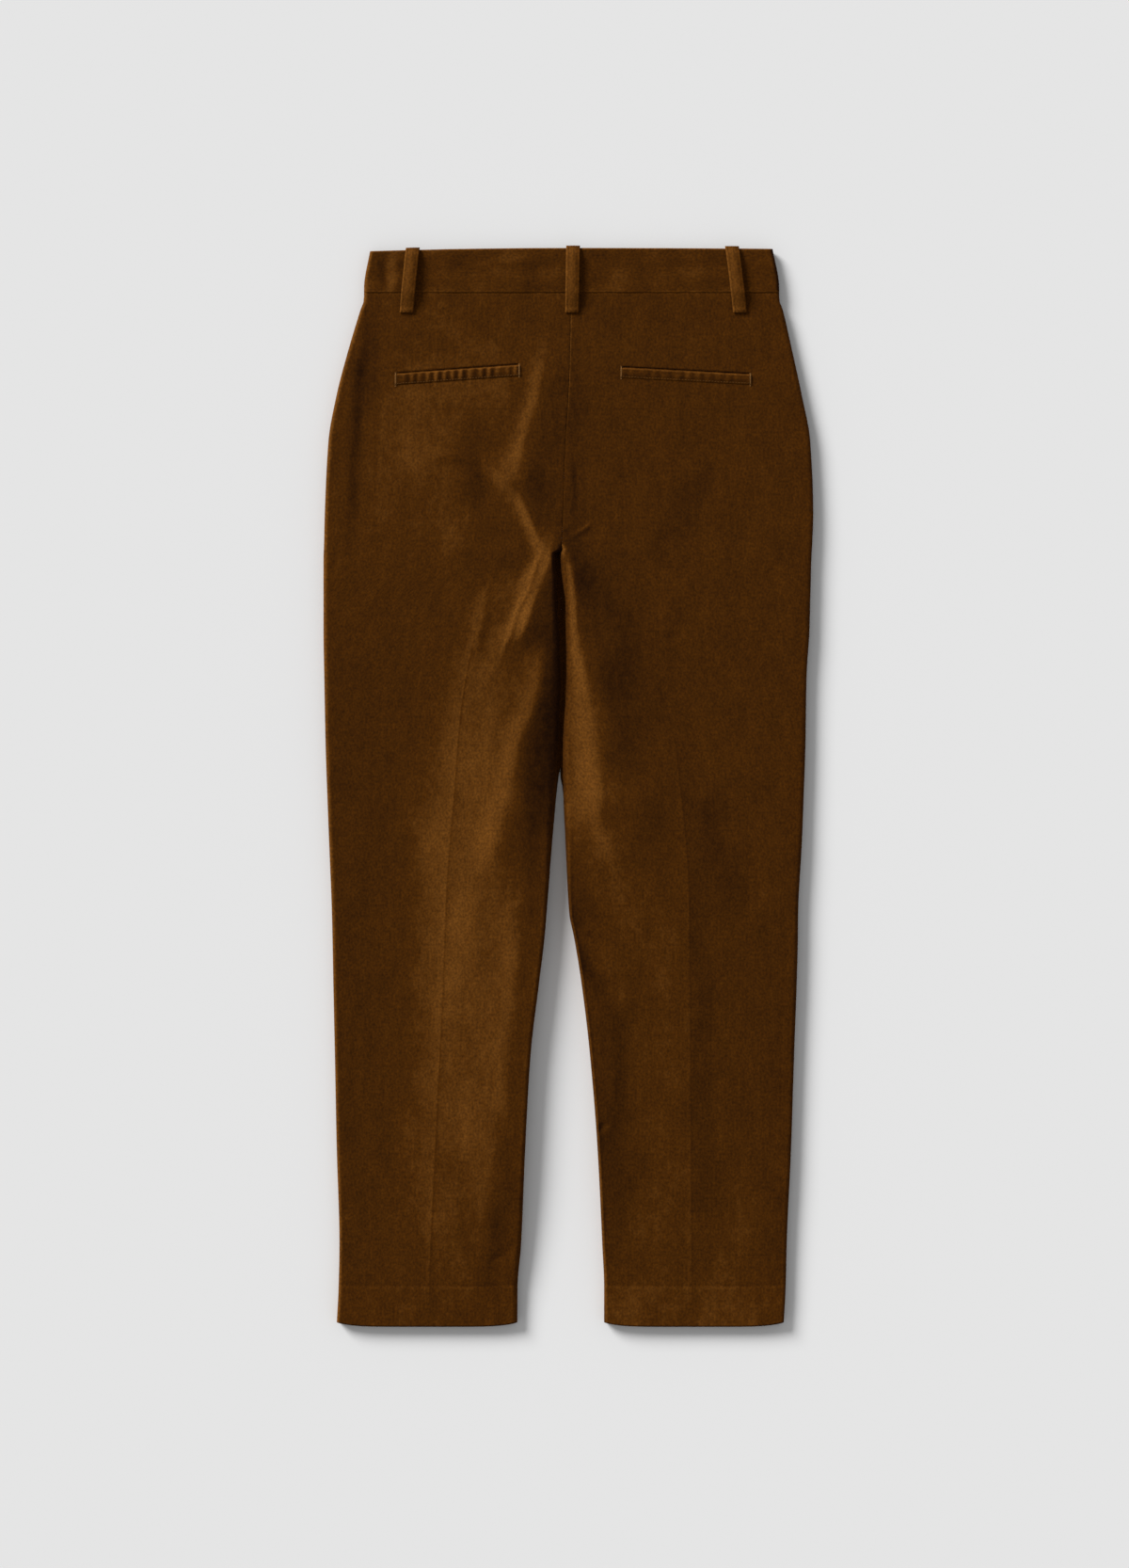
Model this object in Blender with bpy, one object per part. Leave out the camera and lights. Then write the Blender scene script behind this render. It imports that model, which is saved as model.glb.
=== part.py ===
"""Tapered fine-wale corduroy trousers, laid flat with the back uppermost.

The garment is built as it is sewn: two back panels, two front panels, a waistband in
three lengths, five belt loops, two pocket welts and a waist button. Every cloth piece is
a wall of real thickness. Left and right are the wearer's, +Y points to the waist, and
the underside of the fronts rests on the plane z = 0.
"""
import math
from collections import namedtuple

import bmesh
import bpy
import numpy as np

MM = 0.001                  # every size below is in millimetres, every mesh in metres

# ---------------------------------------------------------------- driving sizes
OUTSEAM = 1002.0            # waist edge to hem
BAND_DEPTH = 41.5           # finished depth of the waistband
CROTCH_DOWN = 280.0         # waist edge to the crotch point
CROTCH_DIVE = 8.0           # length over which the seat seam turns under
HEM_DEPTH = 38.0            # turn-up of the hem
HEM_SAG = 4.0               # middle of a hem below its corners
WAIST_DIP_LEFT = 3.0        # waist edge, left end below the centre back
WAIST_DIP_RIGHT = 0.8
CLOTH = 1.3                 # one layer of corduroy
BAND_CLOTH = 1.9            # waistband, two pressed layers and interlining
BAND_PROUD = 0.6            # waistband above the panel it is sewn to
HEM_CLOTH = 2.6             # hem, two layers
SEAM_GAP = 0.3              # clearance between sewn pieces
FLY_LAP = 9.0               # lap edge past the centre front
FLY_END = 205.0             # foot of the fly below the waist edge
FLY_BLEND = 30.0            # length over which the lap runs back to the centre

LOOP_WIDTH = 13.0
LOOP_CLOTH = 1.6
LOOP_END_CLOTH = 2.4        # lower end, turned under
LOOP_LENGTH = 62.0
LOOP_OVER = 1.7             # loop above the waist edge
LOOP_FLAT = 1.7             # front loops, pressed flat

WELT_LIFT = 0.5             # clearance between a welt and the panel it lies on
WELT_CLOTH = 1.2
WELT_PUCKER = 0.35          # height of the small gathers along a welt

BUTTON_RADIUS = 8.5
BUTTON_THICK = 2.0
BUTTON_HOLE_RADIUS = 0.9
BUTTON_HOLE_SPACING = 1.7   # from the button's axes to a hole's centre
BUTTON_DOWN = 20.0
BUTTON_SIDES = 28

MIDDLE_DOWN = (OUTSEAM - LOOP_OVER) / 2.0

CORDUROY = ("corduroy", (0.064, 0.022, 0.0035), 0.92)
HORN = ("dark_horn", (0.045, 0.022, 0.010), 0.35)

# ---------------------------------------------------------------- sections
# One row a section, "down" from the waist edge. The four edges are measured from the
# middle of the garment; above the crotch both inner edges are the centre back seam.
Section = namedtuple("Section", "down left_out left_in right_in right_out")
SECTIONS = [
    Section(0, -184.5, 4.0, 4.0, 190.0),
    Section(37, -190.0, 3.0, 3.0, 196.0),
    Section(47, -190.0, 2.8, 2.8, 196.0),
    Section(58, -193.5, 2.3, 2.3, 199.5),
    Section(93, -204.0, 1.6, 1.6, 207.5),
    Section(137, -215.5, 0.0, 0.0, 217.0),
    Section(180, -223.0, -2.8, -2.8, 224.8),
    Section(246, -226.3, -5.2, -5.2, 227.5),
    Section(280, -227.2, -6.3, -6.3, 226.3),
    Section(284, -227.4, -13.2, -6.4, 226.0),
    Section(294, -227.5, -13.0, -6.2, 225.6),
    Section(311, -227.5, -10.8, -5.4, 225.2),
    Section(329, -227.5, -9.6, -3.4, 224.7),
    Section(355, -227.5, -7.6, -4.6, 224.0),
    Section(399, -226.8, -7.2, -4.5, 221.3),
    Section(465, -225.5, -9.7, -7.2, 220.2),
    Section(508, -224.0, -11.4, -5.3, 218.7),
    Section(552, -222.3, -15.0, -2.7, 217.0),
    Section(618, -219.7, -20.2, 0.8, 213.5),
    Section(640, -219.2, -22.0, 5.2, 213.3),
    Section(683, -218.4, -27.2, 12.2, 212.2),
    Section(749, -217.0, -35.0, 20.0, 209.8),
    Section(836, -215.3, -40.0, 27.0, 207.0),
    Section(924, -212.8, -43.8, 31.4, 203.0),
    Section(968, -213.6, -47.2, 33.2, 202.0),
    Section(1002, -215.3, -47.4, 33.2, 200.3),
]

# Heights of a section: the underside, the outer seams, the inner seams of the left and
# of the right leg, and the top. The rolls are the widths over which the cloth turns round
# the outer edges and round the two inner ones.
Profile = namedtuple("Profile", "down bed edge_out edge_left edge_right top roll_out roll_left roll_right")
PROFILES = [
    Profile(0, 2.3, 6.3, 6.3, 6.3, 10.6, 4.5, 8.0, 8.0),
    Profile(66, 2.3, 6.6, 6.6, 6.6, 11.3, 5.5, 8.0, 8.0),
    Profile(120, 0.0, 6.6, 6.2, 6.4, 12.2, 7.0, 9.0, 9.0),
    Profile(200, 0.0, 6.8, 5.4, 6.2, 12.8, 8.0, 10.0, 9.0),
    Profile(280, 0.0, 7.0, 3.4, 6.0, 13.4, 8.0, 10.0, 8.0),
    Profile(330, 0.0, 7.0, 3.2, 6.0, 13.6, 8.0, 11.0, 8.0),
    Profile(470, 0.0, 7.0, 3.4, 6.0, 13.2, 8.0, 13.0, 11.0),
    Profile(620, 0.0, 6.6, 4.2, 5.9, 12.6, 7.5, 12.0, 12.0),
    Profile(800, 0.0, 6.2, 5.2, 5.7, 11.8, 7.0, 9.0, 9.0),
    Profile(964, 0.0, 5.9, 5.6, 5.6, 11.4, 6.5, 7.5, 7.5),
    Profile(1002, 0.0, 5.8, 5.6, 5.6, 11.2, 6.0, 7.0, 7.0),
]

# ---------------------------------------------------------------- folds of the back
# One row a fold, from (x, down) to (to_x, to_down). "bow" moves its middle sideways,
# "west" and "east" are its half widths on the -X and +X side, and a trough has a
# negative height. Folds that run level have north for east.
Fold = namedtuple("Fold", "name x down to_x to_down bow west east height")
FOLDS = [
    Fold("seat ridge beside the seam", -20, 84, -36, 236, 2, 17, 27, 2.1),
    Fold("seat ridge to the crotch", -60, 166, -9, 314, 4, 9, 14, 2.8),
    Fold("hollow under the cheek", -92, 190, -58, 280, 0, 17, 20, -1.3),
    Fold("cheek swell", -138, 126, -50, 296, 0, 44, 16, 2.0),
    Fold("left hip trough", -186, 60, -199, 290, 1, 6, 30, -0.9),
    Fold("left upper thigh ridge", -5, 256, -50, 384, 0, 9, 14, 2.5),
    Fold("left second thigh ridge", -22, 280, -62, 380, 0, 7, 8, 1.0),
    Fold("left thigh swell", -12, 350, -82, 620, 0, 60, 24, 2.2),
    Fold("left thigh ridge", -9, 336, -78, 596, 0, 13, 12, 2.2),
    Fold("left inner fall", 4, 326, -16, 560, 0, 26, 20, -4.8),
    Fold("left calf ridge", -54, 556, -78, 900, 0, 20, 16, 0.9),
    Fold("right rim ridge", -2, 262, 22, 430, 0, 7, 32, 2.8),
    Fold("right inner ridge", 12, 330, 46, 590, -3, 12, 46, 2.6),
    Fold("right knee trough", 0, 612, 52, 706, -5, 10, 12, -1.2),
    Fold("right calf trough", 52, 640, 66, 1010, 0, 20, 30, -1.3),
    Fold("right crease ridge", 108, 560, 115, 985, 3, 26, 14, 0.7),
    Fold("right outer trough", 126, 500, 178, 632, 4, 15, 30, -0.9),
]

# ---------------------------------------------------------------- sewn-on pieces
# A loop runs from its upper to its lower middle; a welt from its inner to its outer end.
Loop = namedtuple("Loop", "name x to_x")
BACK_LOOPS = [
    Loop("loop_back_left", -144.4, -150.2),
    Loop("loop_back_centre", 4.4, 3.4),
    Loop("loop_back_right", 151.8, 159.4),
]
FRONT_LOOPS = [
    Loop("loop_front_left", -90.0, -92.0),
    Loop("loop_front_right", 96.0, 98.5),
]
# Height of a back loop's underside above the cloth, along its length.
Arch = namedtuple("Arch", "down rise")
LOOP_ARCH = [
    Arch(-1.7, 0.5),
    Arch(1.5, 2.0),
    Arch(6.0, 4.2),
    Arch(12.0, 4.8),
    Arch(26.0, 5.0),
    Arch(40.0, 4.8),
    Arch(47.0, 3.8),
    Arch(52.0, 1.8),
    Arch(55.5, 0.6),
    Arch(60.3, 0.5),
]

Welt = namedtuple("Welt", "name x down to_x to_down depth puckers")
WELTS = [
    Welt("welt_left", -46.5, 109.2, -159.5, 117.5, 10.0, 12),
    Welt("welt_right", 50.0, 111.7, 168.0, 118.0, 9.2, 9),
]

LEFT = "left"
RIGHT = "right"


# ---------------------------------------------------------------- curves and heights
class Curve:
    """A smooth curve through one column of a table, which never overshoots its rows."""

    def __init__(self, rows, column):
        self.place = np.array([row.down for row in rows], dtype=float)
        self.value = np.array([getattr(row, column) for row in rows], dtype=float)
        self.step = np.diff(self.place)
        slope = np.diff(self.value) / self.step
        self.tangent = np.zeros(len(rows))
        self.tangent[0] = slope[0]
        self.tangent[-1] = slope[-1]
        for row in range(1, len(rows) - 1):
            before, after = slope[row - 1], slope[row]
            if before * after > 0:
                self.tangent[row] = 2.0 * before * after / (before + after)

    def __call__(self, down):
        down = np.clip(down, self.place[0], self.place[-1])
        row = np.clip(np.searchsorted(self.place, down) - 1, 0, len(self.step) - 1)
        step = self.step[row]
        t = (down - self.place[row]) / step
        ease = t * t * (3.0 - 2.0 * t)
        rise_out = t * (1.0 - t) ** 2 * step * self.tangent[row]
        rise_in = t * t * (t - 1.0) * step * self.tangent[row + 1]
        return self.value[row] * (1.0 - ease) + self.value[row + 1] * ease + rise_out + rise_in


EDGE = {name: Curve(SECTIONS, name) for name in Section._fields[1:]}
HEIGHT = {name: Curve(PROFILES, name) for name in Profile._fields[1:]}
ARCH_RISE = Curve(LOOP_ARCH, "rise")


def smooth_step(value):
    """0 below 0, 1 above 1 and a soft S between."""
    value = np.clip(value, 0.0, 1.0)
    return value * value * (3.0 - 2.0 * value)


def fold_height(x, down):
    """Sum of the folds at a place on the back."""
    total = np.zeros(np.broadcast(x, down).shape)
    for fold in FOLDS:
        run = np.array([fold.to_x - fold.x, fold.down - fold.to_down], dtype=float)
        length = math.hypot(run[0], run[1])
        along = run / length
        east = np.array([-along[1], along[0]])
        if east[0] < 0:
            east = -east
        from_start = (x - fold.x, fold.down - down)
        t = (from_start[0] * along[0] + from_start[1] * along[1]) / length
        aside = from_start[0] * east[0] + from_start[1] * east[1]
        aside = aside - fold.bow * 4.0 * t * (1.0 - t)
        half_width = np.where(aside > 0, fold.east, fold.west)
        fade = smooth_step(t / 0.3) * smooth_step((1.0 - t) / 0.3)
        total = total + fold.height * fade * np.exp(-((aside / half_width) ** 2))
    return total


def edges(side, down):
    """Outer and inner edge of one side of the garment."""
    return EDGE[side + "_out"](down), EDGE[side + "_in"](down)


def roll(distance, width):
    """Quarter round from 0 at an edge to 1 at its width."""
    inside = np.clip(1.0 - distance / width, 0.0, 1.0)
    return np.sqrt(1.0 - inside * inside)


def toward_side(side, x, down):
    """0 on the inner edge of a side and 1 on its outer edge."""
    outer, inner = edges(side, down)
    return np.clip((x - inner) / (outer - inner), 0.0, 1.0)


def seam_height(side, x, down):
    """Height at which the back and the front meet."""
    inner_seam = HEIGHT["edge_" + side](down)
    return inner_seam + (HEIGHT["edge_out"](down) - inner_seam) * toward_side(side, x, down)


def fullness(side, x, down):
    """How far the cloth has left its side seams: 0 on a seam, 1 on the flat."""
    outer, inner = edges(side, down)
    from_outer = roll(np.abs(x - outer), HEIGHT["roll_out"](down))
    from_inner = roll(np.abs(x - inner), HEIGHT["roll_" + side](down))
    dive = np.clip((CROTCH_DOWN - down) / CROTCH_DIVE, 0.0, 1.0)
    turned_under = 1.0 - np.sqrt(1.0 - (1.0 - dive) ** 2)
    return from_outer * (1.0 - turned_under * (1.0 - from_inner))


def back_height(side, x, down):
    """Outer face of the back."""
    edge = seam_height(side, x, down) + SEAM_GAP / 2.0
    top = HEIGHT["top"](down) + fold_height(x, down)
    return edge + (top - edge) * fullness(side, x, down)


def front_height(side, x, down):
    """Outer face of the front, which is the underside."""
    edge = seam_height(side, x, down) - SEAM_GAP / 2.0
    return edge - (edge - HEIGHT["bed"](down)) * fullness(side, x, down)


def length_shift(side, x, down):
    """How far a point lies below its section, where the waist edge and hem curve."""
    dip = WAIST_DIP_LEFT if side == LEFT else WAIST_DIP_RIGHT
    to_side = toward_side(side, x, down)
    at_waist = np.clip(1.0 - down / BAND_DEPTH, 0.0, 1.0)
    at_hem = smooth_step((down - OUTSEAM + 2.0 * HEM_DEPTH) / (2.0 * HEM_DEPTH))
    corner = np.abs(2.0 * to_side - 1.0) ** 6
    return dip * to_side ** 2 * at_waist - HEM_SAG * corner * at_hem


def place(side, x, down, z):
    """World point, in metres, of a place on the garment."""
    y = MIDDLE_DOWN - (down + length_shift(side, x, down))
    return np.stack(np.broadcast_arrays(x * MM, y * MM, z * MM), axis=-1)


# ---------------------------------------------------------------- grids and walls
def column_places(outer, inner, roll_out, roll_in, roll_steps, flat_steps):
    """x of every column from the outer edge to the inner edge, closer round the rolls."""
    toward = math.copysign(1.0, inner - outer)
    width = abs(inner - outer)
    turn = [1.0 - math.cos(step * math.pi / 2.0 / roll_steps) for step in range(roll_steps)]
    flat = width - roll_out - roll_in
    across = [roll_out * part for part in turn]
    across += [roll_out + flat * step / flat_steps for step in range(flat_steps + 1)]
    across += [width - roll_in * part for part in reversed(turn)]
    return [outer + toward * distance for distance in across]


def panel_edges(side, down, front):
    """Cut edges of a panel at one section, with the seam clearance and the fly lap."""
    outer, inner = edges(side, down)
    if front:
        inner = inner + FLY_LAP * smooth_step((FLY_END - down) / FLY_BLEND)
    if down <= CROTCH_DOWN:
        inner += SEAM_GAP / 2.0 if side == RIGHT else -SEAM_GAP / 2.0
    return float(outer), float(inner)


def panel_grid(side, stations, roll_steps, flat_steps, front):
    """Outer face of a panel as rows of world points."""
    height = front_height if front else back_height
    rows = []
    for down in stations:
        outer, inner = panel_edges(side, down, front)
        roll_out = float(HEIGHT["roll_out"](down))
        roll_in = float(HEIGHT["roll_" + side](down))
        x = np.array(column_places(outer, inner, roll_out, roll_in, roll_steps, flat_steps))
        rows.append(place(side, x, down, height(side, x, down)))
    return np.array(rows)


def grid_normals(grid, outward):
    """Unit normals of a grid of points, turned to the side that outward (+1 or -1) says."""
    down_run = np.gradient(grid, axis=0)
    across_run = np.gradient(grid, axis=1)
    normal = np.cross(across_run, down_run)
    normal /= np.linalg.norm(normal, axis=-1, keepdims=True)
    facing = np.sign(np.sum(normal[..., 2])) * outward
    return normal * facing


def inner_grid(grid, stations, side, outward):
    """The face one cloth thickness inside a panel's outer face."""
    normal = grid_normals(grid, outward)
    away = -1.0 if side == LEFT else 1.0
    normal[:, 0] = (away, 0.0, 0.0)
    for row, down in enumerate(stations):
        if down >= CROTCH_DOWN:
            normal[row, -1] = (-away, 0.0, 0.0)
        else:
            normal[row, -1, 0] = -away * max(-away * normal[row, -1, 0], 0.0)
    normal /= np.linalg.norm(normal, axis=-1, keepdims=True)
    thickness = np.array([HEM_CLOTH if down > OUTSEAM - HEM_DEPTH else CLOTH for down in stations])
    return grid - normal * thickness[:, None, None] * MM


def wall_mesh(name, face, back):
    """One closed body between two grids of points of the same size."""
    rows, columns = face.shape[:2]
    mesh = bmesh.new()
    front_verts = [[mesh.verts.new(point) for point in row] for row in face]
    back_verts = [[mesh.verts.new(point) for point in row] for row in back]
    for row in range(rows - 1):
        for column in range(columns - 1):
            for verts in (front_verts, back_verts):
                mesh.faces.new((verts[row][column], verts[row][column + 1],
                                verts[row + 1][column + 1], verts[row + 1][column]))
    rim = [(0, column) for column in range(columns)]
    rim += [(row, columns - 1) for row in range(1, rows)]
    rim += [(rows - 1, column) for column in range(columns - 2, -1, -1)]
    rim += [(row, 0) for row in range(rows - 2, 0, -1)]
    for (row, column), (next_row, next_column) in zip(rim, rim[1:] + rim[:1]):
        mesh.faces.new((front_verts[row][column], front_verts[next_row][next_column],
                        back_verts[next_row][next_column], back_verts[row][column]))
    return finished(name, mesh)


def finished(name, mesh):
    """An object from a bmesh, with its faces turned outward."""
    bmesh.ops.recalc_face_normals(mesh, faces=mesh.faces)
    data = bpy.data.meshes.new(name)
    mesh.to_mesh(data)
    mesh.free()
    data.shade_smooth()
    data.set_sharp_from_angle(angle=math.radians(40))
    thing = bpy.data.objects.new(name, data)
    bpy.context.scene.collection.objects.link(thing)
    return thing


# ---------------------------------------------------------------- pieces
def evenly(start, end, count):
    return [start + (end - start) * step / count for step in range(count + 1)]


def panel_stations(seat_steps, leg_steps):
    """Sections of a panel: even on the seat and leg, closer at the crotch and the hem."""
    seat_end = CROTCH_DOWN - CROTCH_DIVE
    seat = evenly(BAND_DEPTH + SEAM_GAP / 2.0, seat_end, seat_steps)
    turning = [CROTCH_DOWN - CROTCH_DIVE * part for part in (0.75, 0.5, 0.28, 0.1, 0.0)]
    hem_top = OUTSEAM - HEM_DEPTH
    below = [CROTCH_DOWN + 2.0, CROTCH_DOWN + 4.0, CROTCH_DOWN + 9.0, CROTCH_DOWN + 16.0]
    leg = evenly(CROTCH_DOWN + 26.0, hem_top, leg_steps)
    hem = [hem_top + 2.0, OUTSEAM - HEM_DEPTH / 2.0, OUTSEAM - 6.0, OUTSEAM]
    return seat + turning + below + leg + hem


def make_panels():
    back_stations = panel_stations(seat_steps=11, leg_steps=30)
    front_stations = panel_stations(seat_steps=8, leg_steps=14)
    panels = []
    for side in (LEFT, RIGHT):
        outer = panel_grid(side, back_stations, roll_steps=3, flat_steps=12, front=False)
        inner = inner_grid(outer, back_stations, side, outward=1.0)
        panels.append(wall_mesh("back_" + side, outer, inner))
        outer = panel_grid(side, front_stations, roll_steps=3, flat_steps=5, front=True)
        inner = inner_grid(outer, front_stations, side, outward=-1.0)
        panels.append(wall_mesh("front_" + side, outer, inner))
    return panels


def band_rows(start_side, start, end_side, end, flat_steps, front):
    """Outer and inner face of a length of waistband between two places on its run.

    start and end give a cut edge as a function of the section; None is a side seam.
    """
    stations = [0.0, 2.0, BAND_DEPTH / 2.0, BAND_DEPTH - 2.0, BAND_DEPTH - SEAM_GAP / 2.0]
    faces, backs = [], []
    for down in stations:
        roll_width = float(HEIGHT["roll_out"](down))
        first = float(EDGE[start_side + "_out"](down)) if start is None else start(down)
        last = float(EDGE[end_side + "_out"](down)) if end is None else end(down)
        turn = [1.0 - math.cos(step * math.pi / 6.0) for step in range(3)]
        x = [first + roll_width * part for part in turn] if start is None else []
        flat_from = first + (roll_width if start is None else 0.0)
        flat_to = last - (roll_width if end is None else 0.0)
        x += evenly(flat_from, flat_to, flat_steps)
        x += [last - roll_width * part for part in reversed(turn)] if end is None else []
        softened = BAND_PROUD * (0.4 if down in (stations[0], stations[-1]) else 1.0)
        face, back = [], []
        for value in x:
            side = LEFT if value < EDGE["left_in"](down) else RIGHT
            full = float(fullness(side, value, down))
            if front:
                z = float(front_height(side, value, down))
            else:
                z = float(back_height(side, value, down)) + softened * full
            lean = math.sqrt(max(0.0, 1.0 - full * full))
            toward_middle = BAND_CLOTH * lean * (1.0 if side == LEFT else -1.0)
            inward = BAND_CLOTH * full * (1.0 if front else -1.0)
            face.append(place(side, value, down, z))
            back.append(place(side, value, down, z + inward) + np.array((toward_middle * MM, 0, 0)))
        faces.append(face)
        backs.append(back)
    return np.array(faces), np.array(backs)


def make_waistband():
    def lap(down):
        return float(EDGE["left_in"](down)) + FLY_LAP

    def left_end(down):
        return lap(down) - SEAM_GAP / 2.0

    def right_end(down):
        return lap(down) + SEAM_GAP / 2.0

    face, back = band_rows(LEFT, None, RIGHT, None, flat_steps=20, front=False)
    pieces = [wall_mesh("waistband_back", face, back)]
    face, back = band_rows(LEFT, None, LEFT, left_end, flat_steps=8, front=True)
    pieces.append(wall_mesh("waistband_front_left", face, back))
    face, back = band_rows(RIGHT, right_end, RIGHT, None, flat_steps=8, front=True)
    pieces.append(wall_mesh("waistband_front_right", face, back))
    return pieces


def loop_section(underside, thickness, side, x, down, sign):
    """Ring round a loop at one place: flat below, with two softened upper corners.

    sign is +1 for a loop on the back and -1 for one on the front.
    """
    half = LOOP_WIDTH / 2.0
    soft = thickness * 0.4
    corners = [(-half, 0.0), (half, 0.0), (half, thickness - soft), (half - soft, thickness),
               (0.0, thickness), (soft - half, thickness), (-half, thickness - soft)]
    ring = []
    for aside, above in corners:
        ring.append(place(side, x + aside, down, underside(x + aside, down) + sign * above))
    return ring


def swept(name, rings):
    """A closed body through rings of the same number of points."""
    mesh = bmesh.new()
    verts = [[mesh.verts.new(point) for point in ring] for ring in rings]
    count = len(rings[0])
    for near, far in zip(verts, verts[1:]):
        for index in range(count):
            following = (index + 1) % count
            mesh.faces.new((near[index], near[following], far[following], far[index]))
    mesh.faces.new(verts[0])
    mesh.faces.new(list(reversed(verts[-1])))
    return finished(name, mesh)


def back_skin(x, down):
    """Outer face of whatever the back loops lie on: the band, then the panel."""
    held = np.clip(down, 0.0, OUTSEAM)
    side = LEFT if x < EDGE["left_in"](held) else RIGHT
    skin = float(back_height(side, x, held))
    proud = BAND_PROUD * float(1.0 - smooth_step((down - BAND_DEPTH) / 3.0))
    return skin + proud


def make_back_loop(loop):
    stations = [-1.7, -0.3, 1.5, 3.5, 6.0, 9.0, 13.0, 20.0, 26.0, 33.0, 40.0, 44.0, 47.0,
                49.5, 52.0, 54.0, 55.5, 58.0, 60.3]
    rings = []
    for down in stations:
        t = (down + LOOP_OVER) / LOOP_LENGTH
        x = loop.x + (loop.to_x - loop.x) * t
        side = LEFT if loop.x < 0 else RIGHT
        turned = float(smooth_step((down - 50.0) / 4.0))
        thickness = LOOP_CLOTH + (LOOP_END_CLOTH - LOOP_CLOTH) * turned
        rise = float(ARCH_RISE(down))
        rings.append(loop_section(lambda place_x, place_down: back_skin(place_x, place_down) + rise,
                                  thickness, side, x, down, 1.0))
    return swept(loop.name, rings)


def make_front_loop(loop):
    rings = []
    for down in evenly(-0.5, LOOP_LENGTH - LOOP_OVER, 6):
        t = (down + LOOP_OVER) / LOOP_LENGTH
        x = loop.x + (loop.to_x - loop.x) * t
        side = LEFT if loop.x < 0 else RIGHT
        bed = float(HEIGHT["bed"](max(down, 0.0)))
        rings.append(loop_section(lambda place_x, place_down: bed - SEAM_GAP,
                                  LOOP_FLAT, side, x, down, -1.0))
    return swept(loop.name, rings)


def make_welt(welt):
    """A folded strip on the panel, gently puckered along its length."""
    side = LEFT if welt.x < 0 else RIGHT
    columns = welt.puckers * 4
    rows = [(0.0, 0.55), (0.8, 1.0), (welt.depth - 0.8, 1.0), (welt.depth, 0.55)]
    faces, backs = [], []
    for below_lip, swell in rows:
        face, back = [], []
        for column in range(columns + 1):
            t = column / columns
            x = welt.x + (welt.to_x - welt.x) * t
            down = welt.down + (welt.to_down - welt.down) * t + below_lip
            ripple = WELT_PUCKER * math.sin(t * welt.puckers * 2.0 * math.pi)
            under = float(back_height(side, x, down)) + WELT_LIFT
            face.append(place(side, x, down, under + (WELT_CLOTH + ripple) * swell))
            back.append(place(side, x, down, under))
        faces.append(face)
        backs.append(back)
    return wall_mesh(welt.name, np.array(faces), np.array(backs))


def turned_body(name, profile, sides):
    """A closed body from a profile of (radius, height) points, turned about Z."""
    mesh = bmesh.new()
    rings = []
    for radius, height in profile:
        if radius == 0.0:
            rings.append([mesh.verts.new((0.0, 0.0, height * MM))])
            continue
        ring = []
        for step in range(sides):
            angle = 2.0 * math.pi * step / sides
            point = (radius * math.cos(angle) * MM, radius * math.sin(angle) * MM, height * MM)
            ring.append(mesh.verts.new(point))
        rings.append(ring)
    for near, far in zip(rings, rings[1:]):
        for step in range(sides):
            following = (step + 1) % sides
            loop = [near[step % len(near)], near[following % len(near)],
                    far[following % len(far)], far[step % len(far)]]
            mesh.faces.new(list(dict.fromkeys(loop)))
    return finished(name, mesh)


def make_button():
    """Four-hole button that lies on the plane below the front waistband, face down."""
    rim = 1.4
    well = 0.6
    profile = [(0.0, well), (BUTTON_RADIUS - rim - 0.8, well), (BUTTON_RADIUS - rim, 0.0),
               (BUTTON_RADIUS - 0.5, 0.0), (BUTTON_RADIUS, 0.6),
               (BUTTON_RADIUS - 0.4, BUTTON_THICK - 0.3), (BUTTON_RADIUS - 1.6, BUTTON_THICK),
               (0.0, BUTTON_THICK)]
    button = turned_body("waist_button", profile, BUTTON_SIDES)
    for across in (-1.0, 1.0):
        for along in (-1.0, 1.0):
            drill = turned_body("hole_guide", [(0.0, -1.0), (BUTTON_HOLE_RADIUS, -1.0),
                                               (BUTTON_HOLE_RADIUS, 3.0), (0.0, 3.0)], 8)
            drill.location = (across * BUTTON_HOLE_SPACING * MM, along * BUTTON_HOLE_SPACING * MM, 0.0)
            drill.hide_render = True
            drill.display_type = "WIRE"
            drill.parent = button
            cut = button.modifiers.new("thread hole", "BOOLEAN")
            cut.operation = "DIFFERENCE"
            cut.solver = "EXACT"
            cut.object = drill
    centre_front = float(EDGE["left_in"](BUTTON_DOWN))
    button.location = (centre_front * MM, (MIDDLE_DOWN - BUTTON_DOWN) * MM, 0.0)
    return button


def material(finish):
    name, colour, roughness = finish
    made = bpy.data.materials.get(name)
    if made is None:
        made = bpy.data.materials.new(name)
        made.use_nodes = True
        shader = made.node_tree.nodes["Principled BSDF"]
        shader.inputs["Base Color"].default_value = (*colour, 1.0)
        shader.inputs["Roughness"].default_value = roughness
        shader.inputs["Metallic"].default_value = 0.0
        made.diffuse_color = (*colour, 1.0)
    return made


def main():
    for thing in list(bpy.data.objects):
        bpy.data.objects.remove(thing, do_unlink=True)
    cloth_pieces = make_panels() + make_waistband()
    cloth_pieces += [make_back_loop(loop) for loop in BACK_LOOPS]
    cloth_pieces += [make_front_loop(loop) for loop in FRONT_LOOPS]
    cloth_pieces += [make_welt(welt) for welt in WELTS]
    for piece in cloth_pieces:
        piece.data.materials.append(material(CORDUROY))
    make_button().data.materials.append(material(HORN))


main()
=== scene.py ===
"""Looks of tapered fine-wale corduroy trousers, laid flat with the back uppermost.

Every cloth piece is a thin shell on the form of its solid, with its fine folds, pressed
creases and seams, and carries its own map of the cloth and its own nap tone, into which light
and shade are painted. Left and right are the wearer's, +Y points to the waist, and "down" is
a place's distance from the waist edge.
"""
import math
from collections import namedtuple
from functools import reduce

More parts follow.
